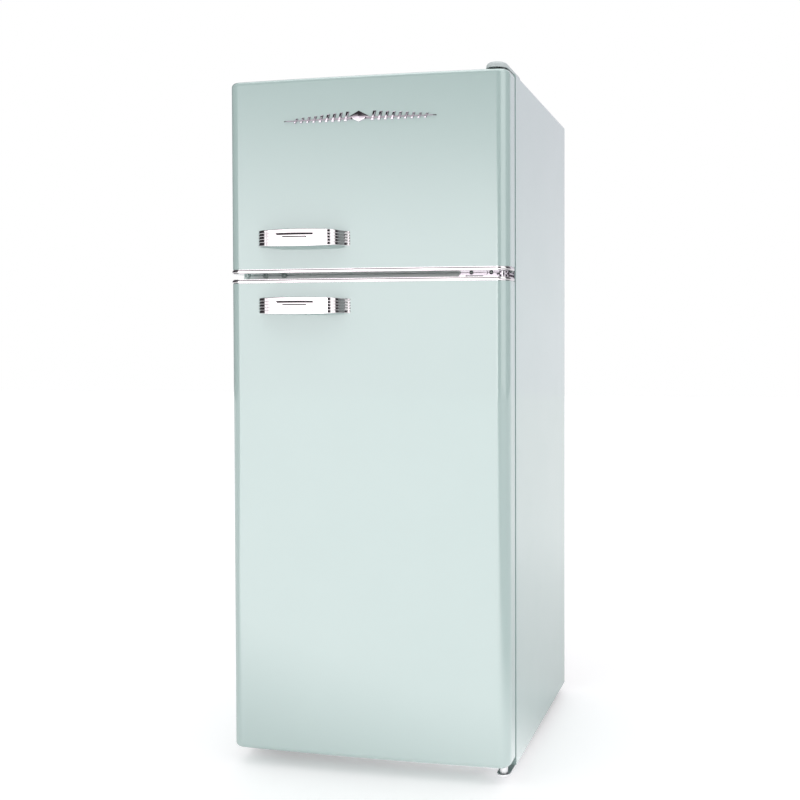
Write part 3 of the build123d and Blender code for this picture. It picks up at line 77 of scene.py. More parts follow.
FLOOR_REACH = 14.0


def make_floor(material):
    """A large pale floor with its far edge out of sight."""
    outline = [(FLOOR_REACH * x, FLOOR_REACH * y, 0) for x, y in ((-1, -1), (1, -1), (1, 1), (-1, 1))]
    mesh = bpy.data.meshes.new("floor")
    mesh.from_pydata(outline, [], [(0, 1, 2, 3)])
    mesh.materials.append(material)
    floor = bpy.data.objects.new("floor", mesh)
    scene.collection.objects.link(floor)


# ---- node helper ------------------------------------------------------------------------

COLOUR_MIX_INPUTS = (0, 6, 7)     # factor, first colour and second colour of a Mix node
COLOUR_MIX_OUTPUT = 2


def feed(tree, socket, value):
    """Links a socket to another node's output, or gives it a plain value."""
    if isinstance(value, bpy.types.NodeSocket):
        tree.links.new(value, socket)
    else:
        socket.default_value = value


class Graph:
    """Small helper that adds nodes to one node tree and links them."""

    def __init__(self, tree, empty=True):
        self.tree = tree
        if empty:
            tree.nodes.clear()

    def add(self, kind, settings=None, **inputs):
        """A node with its settings; inputs are named with _ for a space."""
        node = self.tree.nodes.new(kind)
        for key, value in (settings or {}).items():
            setattr(node, key, value)
        for key, value in inputs.items():
            self.set(node, key.replace("_", " "), value)
        return node

    def set(self, node, key, value):
        """Sets or links an input by its name."""
        feed(self.tree, node.inputs[key], value)

    def math(self, operation, *values):
        """The result of one math operation."""
        node = self.add("ShaderNodeMath", {"operation": operation})
        for socket, value in zip(node.inputs, values):
            feed(self.tree, socket, value)
        return node.outputs[0]

    def product(self, first, *others):
        """All the values multiplied, in order."""
        for other in others:
            first = self.math("MULTIPLY", first, other)
        return first

    def ease(self, value, start, end):
        """0 at start, 1 at end and beyond it, smooth between them."""
        node = self.add("ShaderNodeMapRange", {"interpolation_type": "SMOOTHSTEP", "clamp": True},
                        Value=value, From_Min=start, From_Max=end)
        return node.outputs[0]

    def blend(self, factor, a, b):
        """Colour a where factor is 0, colour b where it is 1."""
        node = self.add("ShaderNodeMix", {"data_type": "RGBA"})
        for index, value in zip(COLOUR_MIX_INPUTS, (factor, a, b)):
            feed(self.tree, node.inputs[index], value)
        return node.outputs[COLOUR_MIX_OUTPUT]

    def axes(self, output):
        """X, Y and Z of one of the texture coordinates."""
        vector = self.add("ShaderNodeTexCoord").outputs[output]
        return self.add("ShaderNodeSeparateXYZ", Vector=vector).outputs


# ---- studio light: directions in degrees, azimuth 0 in front and + towards the hinges -----

WINDOW = (2.75, 0.96 * 2.75, 0.98 * 2.75, 1)    # broad soft window in front
WINDOW_LEFT = (-46, -40)
WINDOW_RIGHT = (0, -8)
WINDOW_TOP = (18, 4)
STRIP = (4.2, 4.2, 4.2, 1)         # narrower, brighter strip at the window's edge
STRIP_LEFT = (-11, -7)
STRIP_RIGHT = (5, 0)
STRIP_TOP = (12, 4)
DARK = (0.05, 0.045, 0.05, 1)      # dark studio wall beside the window
CARD = (1.5, 1.5, 1.5, 1)          # pale card on the hinge side
CARD_LEFT = (24, 36)
CARD_RIGHT = (84, 70)
CEILING = (2.0, 2.0, 2.0, 1)
CEILING_EDGE = (50, 68)
BEHIND = (0.74, 0.70, 0.77, 1)     # pale wall behind the object, high up
BEHIND_LOW = (0.92, 0.90, 0.95, 1)
BEHIND_FADE = (14, 0)
BEHIND_RIGHT = (128, 146)
BEHIND_LEFT = (-125, -150)
# Soft light from all round, with the direction's own X, Y and Z for the places.
PLAIN_HANDLE_SIDE = (0.86, 0.87, 0.89, 1)
PLAIN_HINGE_SIDE = (0.94, 0.94, 0.98, 1)
PLAIN_SIDES = (-0.6, 0.9)
PLAIN_FRONT = (0.52, 0.53, 0.54, 1)
PLAIN_FRONT_EDGE = (-0.45, -0.95)
PLAIN_TOP = (0.92, 0.92, 0.92, 1)
PLAIN_TOP_EDGE = (0.1, 0.9)
WHITE = (1, 1, 1, 1)


def make_world():
    """Mirror rays see a window, dark walls and a bright ceiling; soft light comes from all round."""
    world = bpy.data.worlds.new("studio")
    world.use_nodes = True
    scene.world = world
    g = Graph(world.node_tree)
    x, y, z = g.axes("Generated")
    azimuth = g.math("DEGREES", g.math("ARCTAN2", x, g.math("MULTIPLY", y, -1.0)))
    height = g.math("DEGREES", g.math("ARCSINE", z))

    window = g.product(g.ease(azimuth, *WINDOW_LEFT), g.ease(azimuth, *WINDOW_RIGHT),
                       g.ease(height, *WINDOW_TOP))
    strip = g.product(g.ease(azimuth, *STRIP_LEFT), g.ease(azimuth, *STRIP_RIGHT),
                      g.ease(height, *STRIP_TOP))
    card = g.product(g.ease(azimuth, *CARD_LEFT), g.ease(azimuth, *CARD_RIGHT))
    behind = g.math("MAXIMUM", g.ease(azimuth, *BEHIND_RIGHT), g.ease(azimuth, *BEHIND_LEFT))
    mirror = g.blend(behind, DARK, g.blend(g.ease(height, *BEHIND_FADE), BEHIND, BEHIND_LOW))
    mirror = g.blend(card, mirror, CARD)
    mirror = g.blend(g.ease(height, *CEILING_EDGE), mirror, CEILING)
    mirror = g.blend(window, mirror, WINDOW)
    mirror = g.blend(strip, mirror, STRIP)

    plain = g.blend(g.ease(x, *PLAIN_SIDES), PLAIN_HANDLE_SIDE, PLAIN_HINGE_SIDE)
    plain = g.blend(g.ease(y, *PLAIN_FRONT_EDGE), plain, PLAIN_FRONT)
    plain = g.blend(g.ease(z, *PLAIN_TOP_EDGE), plain, PLAIN_TOP)

    path = g.add("ShaderNodeLightPath").outputs
    colour = g.blend(path["Is Glossy Ray"], plain, mirror)
    colour = g.blend(path["Is Camera Ray"], colour, WHITE)
    background = g.add("ShaderNodeBackground", Strength=1.0, Color=colour)
    g.add("ShaderNodeOutputWorld", Surface=background.outputs[0])


LAMP_AT = (-0.6, -1.2, 3.2)
LAMP_AIM = (0, 0, 0.8)
LAMP_SIZE = 2.4
LAMP_POWER = 8


def make_lamp():
    """One soft square light from above the front, not seen in the chrome."""
    data = bpy.data.lights.new("top light", "AREA")
    data.size = LAMP_SIZE
    data.energy = LAMP_POWER
    lamp = bpy.data.objects.new("top light", data)
    lamp.location = LAMP_AT
    lamp.rotation_euler = (Vector(LAMP_AIM) - Vector(LAMP_AT)).to_track_quat("-Z", "Y").to_euler()
    lamp.visible_glossy = False
    scene.collection.objects.link(lamp)


# ---- materials --------------------------------------------------------------------------


def linear(r, g, b):
    """A display colour, 0 to 255, as linear light."""
    def channel(value):
        value /= 255
        return value / 12.92 if value <= 0.04045 else ((value + 0.055) / 1.055) ** 2.4
    return (channel(r), channel(g), channel(b), 1.0)


SMUDGE_SCALE = 7.0                # how much finer the smudges are than the drift of colour
SMUDGE_RANGE = (0.3, 0.7)         # the part of the noise that spans the whole roughness range
COAT_ROUGHNESS = 0.03
WARM_GLOW = (1.0, 0.9, 0.7, 1)


def surface(name, colour, tone, roughness, scale=3.0, grain=900.0, bump=0.00002, metal=0.0,
            coat=0.0, coat_ior=1.5, clear=0.0, ior=1.5, glow=0.0):
    """A material with a slow drift between two colours, uneven gloss and a fine surface grain."""
    material = bpy.data.materials.new(name)
    material.use_nodes = True
    g = Graph(material.node_tree)
    at = g.add("ShaderNodeTexCoord").outputs["Object"]
    drift = g.add("ShaderNodeTexNoise", Scale=scale, Detail=3.0, Vector=at)
    smudge = g.add("ShaderNodeTexNoise", Scale=scale * SMUDGE_SCALE, Detail=5.0, Vector=at)
    fine = g.add("ShaderNodeTexNoise", Scale=grain, Detail=2.0, Vector=at)
    gloss = g.add("ShaderNodeMapRange", Value=smudge.outputs[0],
                  From_Min=SMUDGE_RANGE[0], From_Max=SMUDGE_RANGE[1],
                  To_Min=roughness[0], To_Max=roughness[1])
    relief = g.add("ShaderNodeBump", Strength=1.0, Distance=bump, Height=fine.outputs[0])
    shader = g.add("ShaderNodeBsdfPrincipled", Base_Color=g.blend(drift.outputs[0], colour, tone),
                   Roughness=gloss.outputs[0], Normal=relief.outputs[0], Metallic=metal, IOR=ior,
                   Coat_Weight=coat, Coat_Roughness=COAT_ROUGHNESS, Coat_IOR=coat_ior,
                   Transmission_Weight=clear)
    if glow:
        g.set(shader, "Emission Color", WARM_GLOW)
        g.set(shader, "Emission Strength", glow)
    g.add("ShaderNodeOutputMaterial", Surface=shader.outputs[0])
    return material


MATERIALS = {
    "mint_enamel": surface("mint enamel", linear(196, 217, 213), linear(192, 214, 210), (0.30, 0.36),
                           scale=1.2, grain=700, bump=0.000004, coat=1.0, coat_ior=1.8),
    "chrome": surface("chrome", (0.80, 0.76, 0.77, 1), (0.74, 0.72, 0.74, 1), (0.035, 0.08), metal=1.0,
                      bump=0.000002),
    "zinc_steel": surface("zinc plated steel", (0.50, 0.51, 0.52, 1), (0.60, 0.61, 0.62, 1), (0.28, 0.5),
                          scale=60, metal=1.0),
    "polyurethane_foam": surface("polyurethane foam", linear(228, 208, 150), linear(210, 186, 124),
                                 (0.8, 0.95), scale=25, grain=500, bump=0.0006),
    "white_liner": surface("white liner plastic", linear(238, 240, 238), linear(232, 235, 233),
                           (0.25, 0.38), grain=1500, bump=0.00001),
    "grey_plastic": surface("grey plastic", linear(212, 219, 219), linear(204, 212, 212), (0.4, 0.5),
                            grain=1400, bump=0.00003),
    "handle_chrome": surface("handle chrome", (0.76, 0.72, 0.735, 1), (0.72, 0.685, 0.70, 1),
                             (0.04, 0.09), metal=1.0, bump=0.000002),
    "badge_chrome": surface("badge chrome", (0.46, 0.42, 0.46, 1), (0.40, 0.37, 0.41, 1), (0.05, 0.12),
                            metal=1.0, bump=0.000002),
    "black_enamel": surface("black enamel", (0.012, 0.012, 0.013, 1), (0.02, 0.02, 0.021, 1),
                            (0.22, 0.4), scale=12, coat=0.3),
    "black_plastic": surface("black plastic", (0.018, 0.018, 0.018, 1), (0.03, 0.03, 0.03, 1),
                             (0.4, 0.6), grain=1600, bump=0.00004),
    "rubber": surface("black rubber", (0.015, 0.015, 0.015, 1), (0.028, 0.028, 0.028, 1), (0.6, 0.8)),
    "gasket_vinyl": surface("gasket vinyl", linear(186, 200, 198), linear(174, 190, 188), (0.45, 0.6)),
    "copper": surface("copper", (0.72, 0.36, 0.22, 1), (0.55, 0.27, 0.18, 1), (0.2, 0.42), scale=30,
                      metal=1.0),
    "wire_white": surface("white coated wire", linear(236, 238, 238), linear(228, 231, 231),
                          (0.22, 0.34), grain=2500, bump=0.00002),
    "shelf_glass": surface("shelf glass", (0.80, 0.95, 0.90, 1), (0.78, 0.94, 0.89, 1), (0.01, 0.03),
                           clear=1.0, bump=0.0),
    "clear_plastic": surface("clear plastic", (0.86, 0.93, 0.96, 1), (0.84, 0.92, 0.95, 1),
                             (0.06, 0.14), clear=0.92, ior=1.46, grain=900, bump=0.00001),
    "lens_plastic": surface("lens plastic", (0.9, 0.9, 0.88, 1), (0.86, 0.87, 0.84, 1), (0.3, 0.45),
                            clear=0.6, ior=1.46),
    "lamp_glass": surface("lamp glass", (0.98, 0.95, 0.88, 1), (0.95, 0.92, 0.84, 1), (0.2, 0.3),
                          clear=0.4, glow=0.6),
    "knob_plastic": surface("knob plastic", linear(214, 220, 221), linear(206, 213, 214), (0.25, 0.35)),
}


FLOOR_SHEEN = 2.1                 # painted sheen: the floor's pool of light glows for mirror rays, and the door front sees it
SHEEN_AT_BACK = 0.18               # painted sheen on the floor behind the object, which the side sees
FLOOR_FILL = 0.32                 # lifts the floor to white for the camera
SHEEN_TINT = (1, 0.97, 0.98, 1)
# Edges of the pool of light, in metres, across lines of this slope on the floor.
POOL_NEAR = (0.05, -0.85)
POOL_NEAR_SLOPE = -0.5
POOL_RIGHT = (1.2, 0.2)
POOL_LEFT = (-0.9, -0.3)
POOL_LEFT_SLOPE = -0.8
# Where the painted sheen behind the object fades in, in metres along Y.
BACK_SHEEN_EDGES = (0.6, 2.5)


def floor_material():
    """Pale matt floor with a painted pool of light in front of the object and a fainter painted sheen
    behind it, both for mirror rays only.
    """
    material = surface("studio floor", (0.86, 0.87, 0.87, 1), (0.84, 0.85, 0.85, 1), (0.5, 0.6),
                       scale=0.6, grain=200)
    g = Graph(material.node_tree, empty=False)
    x, y = g.axes("Object")[:2]
    near = g.math("ADD", y, g.math("MULTIPLY", x, POOL_NEAR_SLOPE))
    left = g.math("ADD", x, g.math("MULTIPLY", y, POOL_LEFT_SLOPE))
    pool = g.product(g.ease(near, *POOL_NEAR), g.ease(x, *POOL_RIGHT), FLOOR_SHEEN,
                     g.ease(left, *POOL_LEFT))
    pool = g.math("ADD", pool, g.math("MULTIPLY", g.ease(y, *BACK_SHEEN_EDGES), SHEEN_AT_BACK))
    path = g.add("ShaderNodeLightPath").outputs
    sheen = g.math("MULTIPLY", pool, path["Is Glossy Ray"])
    fill = g.math("MULTIPLY", FLOOR_FILL, path["Is Camera Ray"])
    shader = next(node for node in g.tree.nodes if node.type == "BSDF_PRINCIPLED")
    g.set(shader, "Emission Color", SHEEN_TINT)
    g.set(shader, "Emission Strength", g.math("ADD", sheen, fill))
    material.cycles.emission_sampling = "NONE"
    return material


def dress_cad():
    """Every CAD node takes the material of its own slot, and the centre hinge a darker chrome."""
    for entry in frame["record"]["subparts"]:
        materials = nodes[entry["node"]].data.materials
        materials.clear()
        materials.append(MATERIALS[entry["material_slot"]])
    nodes["centre_hinge"].data.materials[0] = MATERIALS["badge_chrome"]


# ---- shapes for the pieces that are finer than the CAD ----------------------------------

SHARP = math.radians(38)
RIM_START = 0.8                   # share of the widest radius from which a lathe has teeth
LEAST_RADIUS = 0.01


def full_turn(steps):
    """Evenly spaced angles round a circle."""
    return [2 * math.pi * k / steps for k in range(steps)]


def add_piece(name, data, slot, body, replaced, look=None):
    """Puts a new mesh or curve in the scene under its body, with the material of its look or else of its
    slot, and hides the nodes it replaces.
    """
    piece = bpy.data.objects.new(name, data)
    scene.collection.objects.link(piece)
    piece.data.materials.append(MATERIALS[look or slot])
    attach(piece, body)
    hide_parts(replaced)


class Shape:
    """Collects points and faces in millimetres, then becomes one piece of the object."""

    def __init__(self):
        self.points = []
        self.faces = []

    def loft(self, rings, looped=False):
        """Quads between rings of the same number of points, with a face over both ends."""
        first = len(self.points)
        count = len(rings[0])
        for ring in rings:
            self.points.extend(ring)
        spans = len(rings) if looped else len(rings) - 1
        for i in range(spans):
            a = first + i * count
            b = first + (i + 1) % len(rings) * count
            for k in range(count):
                n = (k + 1) % count
                self.faces.append((a + k, a + n, b + n, b + k))
        if not looped:
            self.faces.append(tuple(first + k for k in reversed(range(count))))
            last = first + (len(rings) - 1) * count
            self.faces.append(tuple(last + k for k in range(count)))

    def lathe(self, profile, at, axis, steps=40, teeth=0, depth=0.0):
        """A profile of (radius, distance along the axis), turned; teeth ripple the rim."""
        along = Vector(axis).normalized()
        across = along.orthogonal().normalized()
        up = along.cross(across)
        widest = max(radius for radius, _ in profile)
        rings = []
        for radius, distance in profile:
            ring = []
            for angle in full_turn(steps):
                toothed = teeth and radius > RIM_START * widest
                ripple = depth * math.cos(teeth * angle) if toothed else 0
                reach = max(radius + ripple, LEAST_RADIUS)
                ring.append(Vector(at) + along * distance
                            + (across * math.cos(angle) + up * math.sin(angle)) * reach)
            rings.append(ring)
        self.loft(rings)

    def relief(self, outline, heights, insets):
        """A raised, faceted plate on the door front from an (x, z) outline."""
        cx = sum(p[0] for p in outline) / len(outline)
        cz = sum(p[1] for p in outline) / len(outline)
        rings = []
        for height, inset in zip(heights, insets):
            ring = []
            for x, z in outline:
                px = cx + (x - cx) * inset
                pz = cz + (z - cz) * inset
                ring.append((px, door_front(px) - height, pz))
            rings.append(ring)
        self.loft(rings)

    def build(self, name, slot, body, replaced, sharp=SHARP, look=None):
        """Turns the shape into a piece that stands for a CAD node."""
        mesh = bpy.data.meshes.new(name)
        mesh.from_pydata([tuple(c * MM for c in p) for p in self.points], [], self.faces)
        shell = bmesh.new()
        shell.from_mesh(mesh)
        bmesh.ops.recalc_face_normals(shell, faces=shell.faces)
        shell.to_mesh(mesh)
        shell.free()
        mesh.shade_smooth()
        mesh.set_sharp_from_angle(angle=sharp)
        add_piece(name, mesh, slot, body, replaced, look)


def wires(name, lines, radius, slot, body, replaced):
    """Round wires along lists of points, in millimetres, that stand for a CAD node."""
    curve = bpy.data.curves.new(name, "CURVE")
    curve.dimensions = "3D"
    curve.bevel_depth = radius * MM
    curve.bevel_resolution = 2
    curve.use_fill_caps = True
    for line in lines:
        spline = curve.splines.new("POLY")
        spline.points.add(len(line) - 1)
        for point, at in zip(spline.points, line):
            point.co = (at[0] * MM, at[1] * MM, at[2] * MM, 1)
    add_piece(name, curve, slot, body, replaced)


def corners(node):
    """Lowest and highest corner of a CAD node, in millimetres."""
    low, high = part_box(node)
    return low / MM, high / MM


def middle_of(node):
    """Middle of a CAD node, in millimetres."""
    low, high = corners(node)
    return (low + high) / 2


# ---- handles ----------------------------------------------------------------------------

DOOR_CROWN = -278.0               # Y of the doors' front at their middle
DOOR_CURVE = 7132.0               # radius of the doors' bow
BAND = 6.0                        # thickness of the band
SHOULDER = 24.0                   # radius where the front turns into a leg
LEG_SPLAY = 27.0                  # how far a leg's foot stands outside its shoulder
FRONT_BOW = 7.0                   # how far the band's middle stands before its shoulders
FOOT_REACH = 5.9                  # how far the legs' line runs on past the CAD handle's ends
FOOT_DEPTH = 12.0                 # and how deep that line ends behind the door's front
FOOT_SINK = 0.4                   # the mesh itself stops this much behind it
END_DROP = 3.0                    # how much lower the band's edge is at its ends
LEG_STEPS = 5
SHOULDER_STEPS = 14
FRONT_STEPS = 20
RIM = ((0.92, BAND), (0.985, 5.6), (1.0, 5.0), (1.0, 1.6), (0.99, 0.9), (0.965, 0.4), (0.93, 0.15),
       (0.90, 0.2))
FLUTES = (-0.57, -0.19, 0.19, 0.57)
FLUTE = ((-0.075, 0.0), (-0.045, 0.6), (0.0, 0.9), (0.045, 0.6), (0.075, 0.0))
FACE_CROWN = 0.25                 # how much the face falls off towards its edges
HANDLE_SHARP = math.radians(50)


def door_front(x):
    """Y of the bowed door front at x."""
    return DOOR_CROWN + x * x / (2 * DOOR_CURVE)


def handle_line(half, front):
    """Outer line of the band from above, from the right leg round to the left one."""
    corner = Vector((half - LEG_SPLAY, front + FRONT_BOW))
    foot = Vector((half, DOOR_CROWN + FOOT_DEPTH))
    bow = (corner.x ** 2 + FRONT_BOW ** 2) / (2 * FRONT_BOW)
    lean = math.asin(corner.x / bow)
    to_foot = (foot - corner).normalized()
    to_middle = Vector((-math.cos(lean), -math.sin(lean)))
    half_angle = to_foot.angle(to_middle) / 2
    reach = SHOULDER / math.tan(half_angle)
    centre = corner + (to_foot + to_middle).normalized() * SHOULDER / math.sin(half_angle)
    start = corner + to_foot * reach - centre
    end = corner + to_middle * reach - centre
    line = [foot + (corner + to_foot * reach - foot) * k / LEG_STEPS for k in range(LEG_STEPS)]
    turn = start.angle(end)
    for k in range(SHOULDER_STEPS + 1):
        angle = turn * k / SHOULDER_STEPS
        line.append(centre + (start * math.sin(turn - angle) + end * math.sin(angle)) / math.sin(turn))
    edge = (centre + end).x
    for k in range(1, FRONT_STEPS):
        x = edge * (1 - k / FRONT_STEPS)
        line.append(Vector((x, front + x * x / (2 * bow))))
    mirrored = [Vector((-p.x, p.y)) for p in reversed(line)]
    return line + [Vector((0, front))] + mirrored


def band_profile():
    """Round the band's section: (share of the half height, depth under the outer line)."""
    face = []
    for flute in FLUTES:
        for offset, depth in FLUTE:
            share = flute + offset
            face.append((share, depth + FACE_CROWN * share * share))
    return [(-share, depth) for share, depth in RIM] + face + list(reversed(RIM))


def make_handle(node, body):
    """Fluted chrome band handle with rounded shoulders and two legs."""
    low, high = corners(node)
    middle = middle_of(node)
    half = (high.x - low.x) / 2 + FOOT_REACH
    tallest = (high.z - low.z) / 2
    line = handle_line(half, low.y)
    rings = []
    for k, point in enumerate(line):
        ahead = line[min(k + 1, len(line) - 1)]
        behind = line[max(k - 1, 0)]
        along = (ahead - behind).normalized()
        outward = Vector((-along.y, along.x))
        if outward.dot(Vector((point.x, point.y - DOOR_CROWN))) < 0:
            outward = -outward
        height = tallest - END_DROP * (point.x / half) ** 2
        ring = []
        for share, depth in band_profile():
            p = point - outward * depth
            x = middle.x + p.x
            ring.append((x, min(p.y, door_front(x) + FOOT_SINK), middle.z + share * height))
        rings.append(ring)
    shape = Shape()
    shape.loft(rings)
    shape.build(node + "_fluted", "chrome", body, node, HANDLE_SHARP, "handle_chrome")


# ---- badge: a generic ornament, a spear line with a lozenge and slanted bars -------------

BAR_COUNT = 9                     # slanted bars on each side
BAR_START = 28.0                  # from the middle to the first bar
BAR_STEP = 13.5
BAR_SLANT = 5.0
BAR_TOP = 9.5                     # over the middle of the badge, less from bar to bar
BAR_TOP_DROP = 1.1
BAR_FOOT = 4.5                    # under the line
BAR_WIDTH = 3.0                   # half of it
BAR_WIDTH_DROP = 0.12
LINE_DROP = 4.0                   # the line lies this much under the middle
LINE_START = 12.0
LINE_WIDTHS = (1.9, 0.7)          # half of it, at the lozenge and at the tip
LOZENGE = ((-22, -1), (0, -10.5), (22, -1), (0, 10.5))
RELIEF_HEIGHTS = (-0.3, 1.4, 2.2, 2.8)
LINE_INSETS = (1.0, 1.0, 0.97, 0.9)
BAR_INSETS = (1.0, 1.0, 0.82, 0.5)
LOZENGE_INSETS = (1.0, 1.0, 0.8, 0.08)
BADGE_SHARP = math.radians(15)


def make_badge():
    """Chrome ornament on the freezer door."""
    low, high = corners("badge")
    middle = middle_of("badge")
    shape = Shape()
    reach = (high.x - low.x) / 2
    line_z = middle.z - LINE_DROP
    inner, tip = LINE_WIDTHS
    for side in (-1, 1):
        start, end = middle.x + side * LINE_START, middle.x + side * reach
        shape.relief([(start, line_z - inner), (end, line_z - tip), (end, line_z + tip),
                      (start, line_z + inner)], RELIEF_HEIGHTS, LINE_INSETS)
        for k in range(BAR_COUNT):
            x = middle.x + side * (BAR_START + BAR_STEP * k)
            top = middle.z + BAR_TOP - BAR_TOP_DROP * k
            foot = line_z - BAR_FOOT
            width = BAR_WIDTH - BAR_WIDTH_DROP * k
            shape.relief([(x - width, foot), (x + width, foot), (x + width + BAR_SLANT, top),
                          (x - width + BAR_SLANT, top)], RELIEF_HEIGHTS, BAR_INSETS)
    shape.relief([(middle.x + x, middle.z + z) for x, z in LOZENGE], RELIEF_HEIGHTS, LOZENGE_INSETS)
    shape.build("badge_ornament", "chrome", "freezer_door", "badge", BADGE_SHARP, "badge_chrome")


# ---- door gaskets -----------------------------------------------------------------------

GASKET_CORNER = 6.0
GASKET_INNER = 0.2                # least radius of an inner corner
GASKET_STEPS = 6                  # faces of a corner
GASKET_SHARP = math.radians(60)
# (inward from the outer edge, towards the cabinet from the door)
BELLOWS = ((1.0, 0.0), (0.2, 1.4), (1.7, 3.0), (0.2, 4.7), (1.9, 6.3), (0.6, 8.0), (1.4, 9.3),
           (3.0, 9.7), (11.0, 9.7), (12.6, 9.3), (13.4, 8.0), (12.1, 6.3), (13.8, 4.7), (12.3, 3.0),
           (13.8, 1.4), (13.0, 0.0))


def make_gasket(node, body):
    """Bellows gasket round the back of a door."""
    low, high = corners(node)
    middle = middle_of(node)
    rings = []
    for side_x, side_z, start in ((1, 1, 0), (-1, 1, 90), (-1, -1, 180), (1, -1, 270)):
        centre_x = middle.x + side_x * ((high.x - low.x) / 2 - GASKET_CORNER)
        centre_z = middle.z + side_z * ((high.z - low.z) / 2 - GASKET_CORNER)
        for k in range(GASKET_STEPS + 1):
            angle = math.radians(start + 90 * k / GASKET_STEPS)
            ring = []
            for inward, back in BELLOWS:
                turned = min(inward, GASKET_CORNER - GASKET_INNER)
                straight = max(inward - GASKET_CORNER + GASKET_INNER, 0)
                radius = GASKET_CORNER - turned
                ring.append((centre_x + math.cos(angle) * radius - side_x * straight,
                             low.y + back,
                             centre_z + math.sin(angle) * radius - side_z * straight))
            rings.append(ring)
    shape = Shape()
    shape.loft(rings, looped=True)
    shape.build(node + "_bellows", "gasket_vinyl", body, node, GASKET_SHARP)


# ---- bright trims along the gap between the doors ----------------------------------------

DOOR_HALF = 292.5                 # half the doors' width
DOOR_CORNER = 24.0                # radius of their front corners
TRIM_END = -227.0                 # Y where a trim ends on the doors' sides
CORNER_STEPS = 15
TRIM_STEPS = 20
TRIM_SHARP = math.radians(50)
# (share of the trim's height, outward from the door's surface)
BULGE = ((0.0, -1.9), (0.0, -0.2), (0.03, 0.1), (0.06, -0.9), (0.12, -0.9), (0.15, 0.1),
         (0.24, 0.75), (0.36, 1.1), (0.5, 1.2), (0.64, 1.1), (0.76, 0.75), (0.85, 0.1),
         (0.88, -0.9), (0.94, -0.9), (0.97, 0.1), (1.0, -0.2), (1.0, -1.9))


def door_line():
    """The door's outline from above, from the right side round the front, with outward normals."""
    centre = Vector((DOOR_HALF - DOOR_CORNER, door_front(DOOR_HALF - DOOR_CORNER) + DOOR_CORNER))
    line = [(Vector((DOOR_HALF, TRIM_END)), Vector((1, 0)))]
    line.append((Vector((DOOR_HALF, centre.y)), Vector((1, 0))))
    for k in range(1, CORNER_STEPS + 1):
        angle = math.radians(90 * k / CORNER_STEPS)
        out = Vector((math.cos(angle), -math.sin(angle)))
        line.append((centre + out * DOOR_CORNER, out))
    for k in range(1, TRIM_STEPS):
        x = centre.x * (1 - k / TRIM_STEPS)
        line.append((Vector((x, door_front(x))), Vector((x / DOOR_CURVE, -1)).normalized()))
    mirrored = [(Vector((-p.x, p.y)), Vector((-n.x, n.y))) for p, n in reversed(line)]
    return line + [(Vector((0, DOOR_CROWN)), Vector((0, -1)))] + mirrored


def make_trim(node, body):
    """Half-round chrome strip between two fine grooves."""
    low, high = corners(node)
    shape = Shape()
    shape.loft([[(point.x + out.x * rise, point.y + out.y * rise, low.z + share * (high.z - low.z))
                 for share, rise in BULGE] for point, out in door_line()])
    shape.build(node + "_half_round", "chrome", body, node, TRIM_SHARP)


# ---- screws, bolts and plugs ------------------------------------------------------------

TO_FRONT = (0, -1, 0)
TO_BACK = (0, 1, 0)
UP = (0, 0, 1)
DOWN = (0, 0, -1)
HOLE_X = (202.0, 243.0, 284.0)    # screws of the centre hinge, and plugs on the other side
HOLE_Z = 1003.8
RAIL_FACE = -211.0
PLATE_FACE = -214.0
TOP_SCREW_Y = (-190, -168)
BOTTOM_SCREW_X = (246, 276)
BOTTOM_SCREW_Y = -194
COMPRESSOR_BOLTS = (80, 40)       # from the middle of the grommets
# Profiles of (radius, distance along the axis).
PAN_HEAD = ((0, 0.9), (1.1, 0.9), (1.4, 1.6), (2.2, 2.0), (3.2, 1.7), (3.9, 0.9), (4.1, 0.0),
            (2.4, -0.2), (2.4, -2.5))
WASHER = ((3, -18), (3, 2.9), (6.9, 3.0), (7.0, 4.2), (6.2, 4.4))
NUT = ((6.2, 4.4), (6.4, 4.7), (6.4, 8.6), (5.8, 9.0), (3.1, 9.0), (3.0, 11.4), (2.4, 12))
PLUG = ((0, 1.1), (3.1, 1.2), (3.6, 0.9), (4.0, 1.2), (4.6, 1.95), (5.3, 1.8), (5.9, 1.0), (6.0, 0.0),
        (3.9, -0.1), (3.9, -1.7))


def make_fasteners():
    """Screws with round heads, nuts and bolts, and the plugs in the mirrored hinge holes."""
    screws = Shape()
    for x in HOLE_X:
        screws.lathe(PAN_HEAD, (x, PLATE_FACE, HOLE_Z), TO_FRONT)
    top = corners("top_hinge_bracket")[1].z
    for y in TOP_SCREW_Y:
        screws.lathe(PAN_HEAD, (middle_of("top_hinge_bracket").x, y, top), UP)
    bottom = corners("bottom_hinge_bracket")[0].z
    for x in BOTTOM_SCREW_X:
        screws.lathe(PAN_HEAD, (x, BOTTOM_SCREW_Y, bottom), DOWN)
    middle = middle_of("compressor_grommets")
    top = corners("compressor_grommets")[1].z
    for side_x in (-1, 1):
        for side_y in (-1, 1):
            at = (middle.x + side_x * COMPRESSOR_BOLTS[0], middle.y + side_y * COMPRESSOR_BOLTS[1], top)
            screws.lathe(WASHER, at, UP, 24)
            screws.lathe(NUT, at, UP, 6)
    screws.build("screws_with_heads", "zinc_steel", "cabinet", "screws_and_bolts")
    plugs = Shape()
    for x in HOLE_X:
        plugs.lathe(PLUG, (-x, RAIL_FACE, HOLE_Z), TO_FRONT)
    plugs.build("rail_plugs_ringed", "mint_enamel", "cabinet", "rail_hole_plugs")


# ---- feet, rollers and knob -------------------------------------------------------------

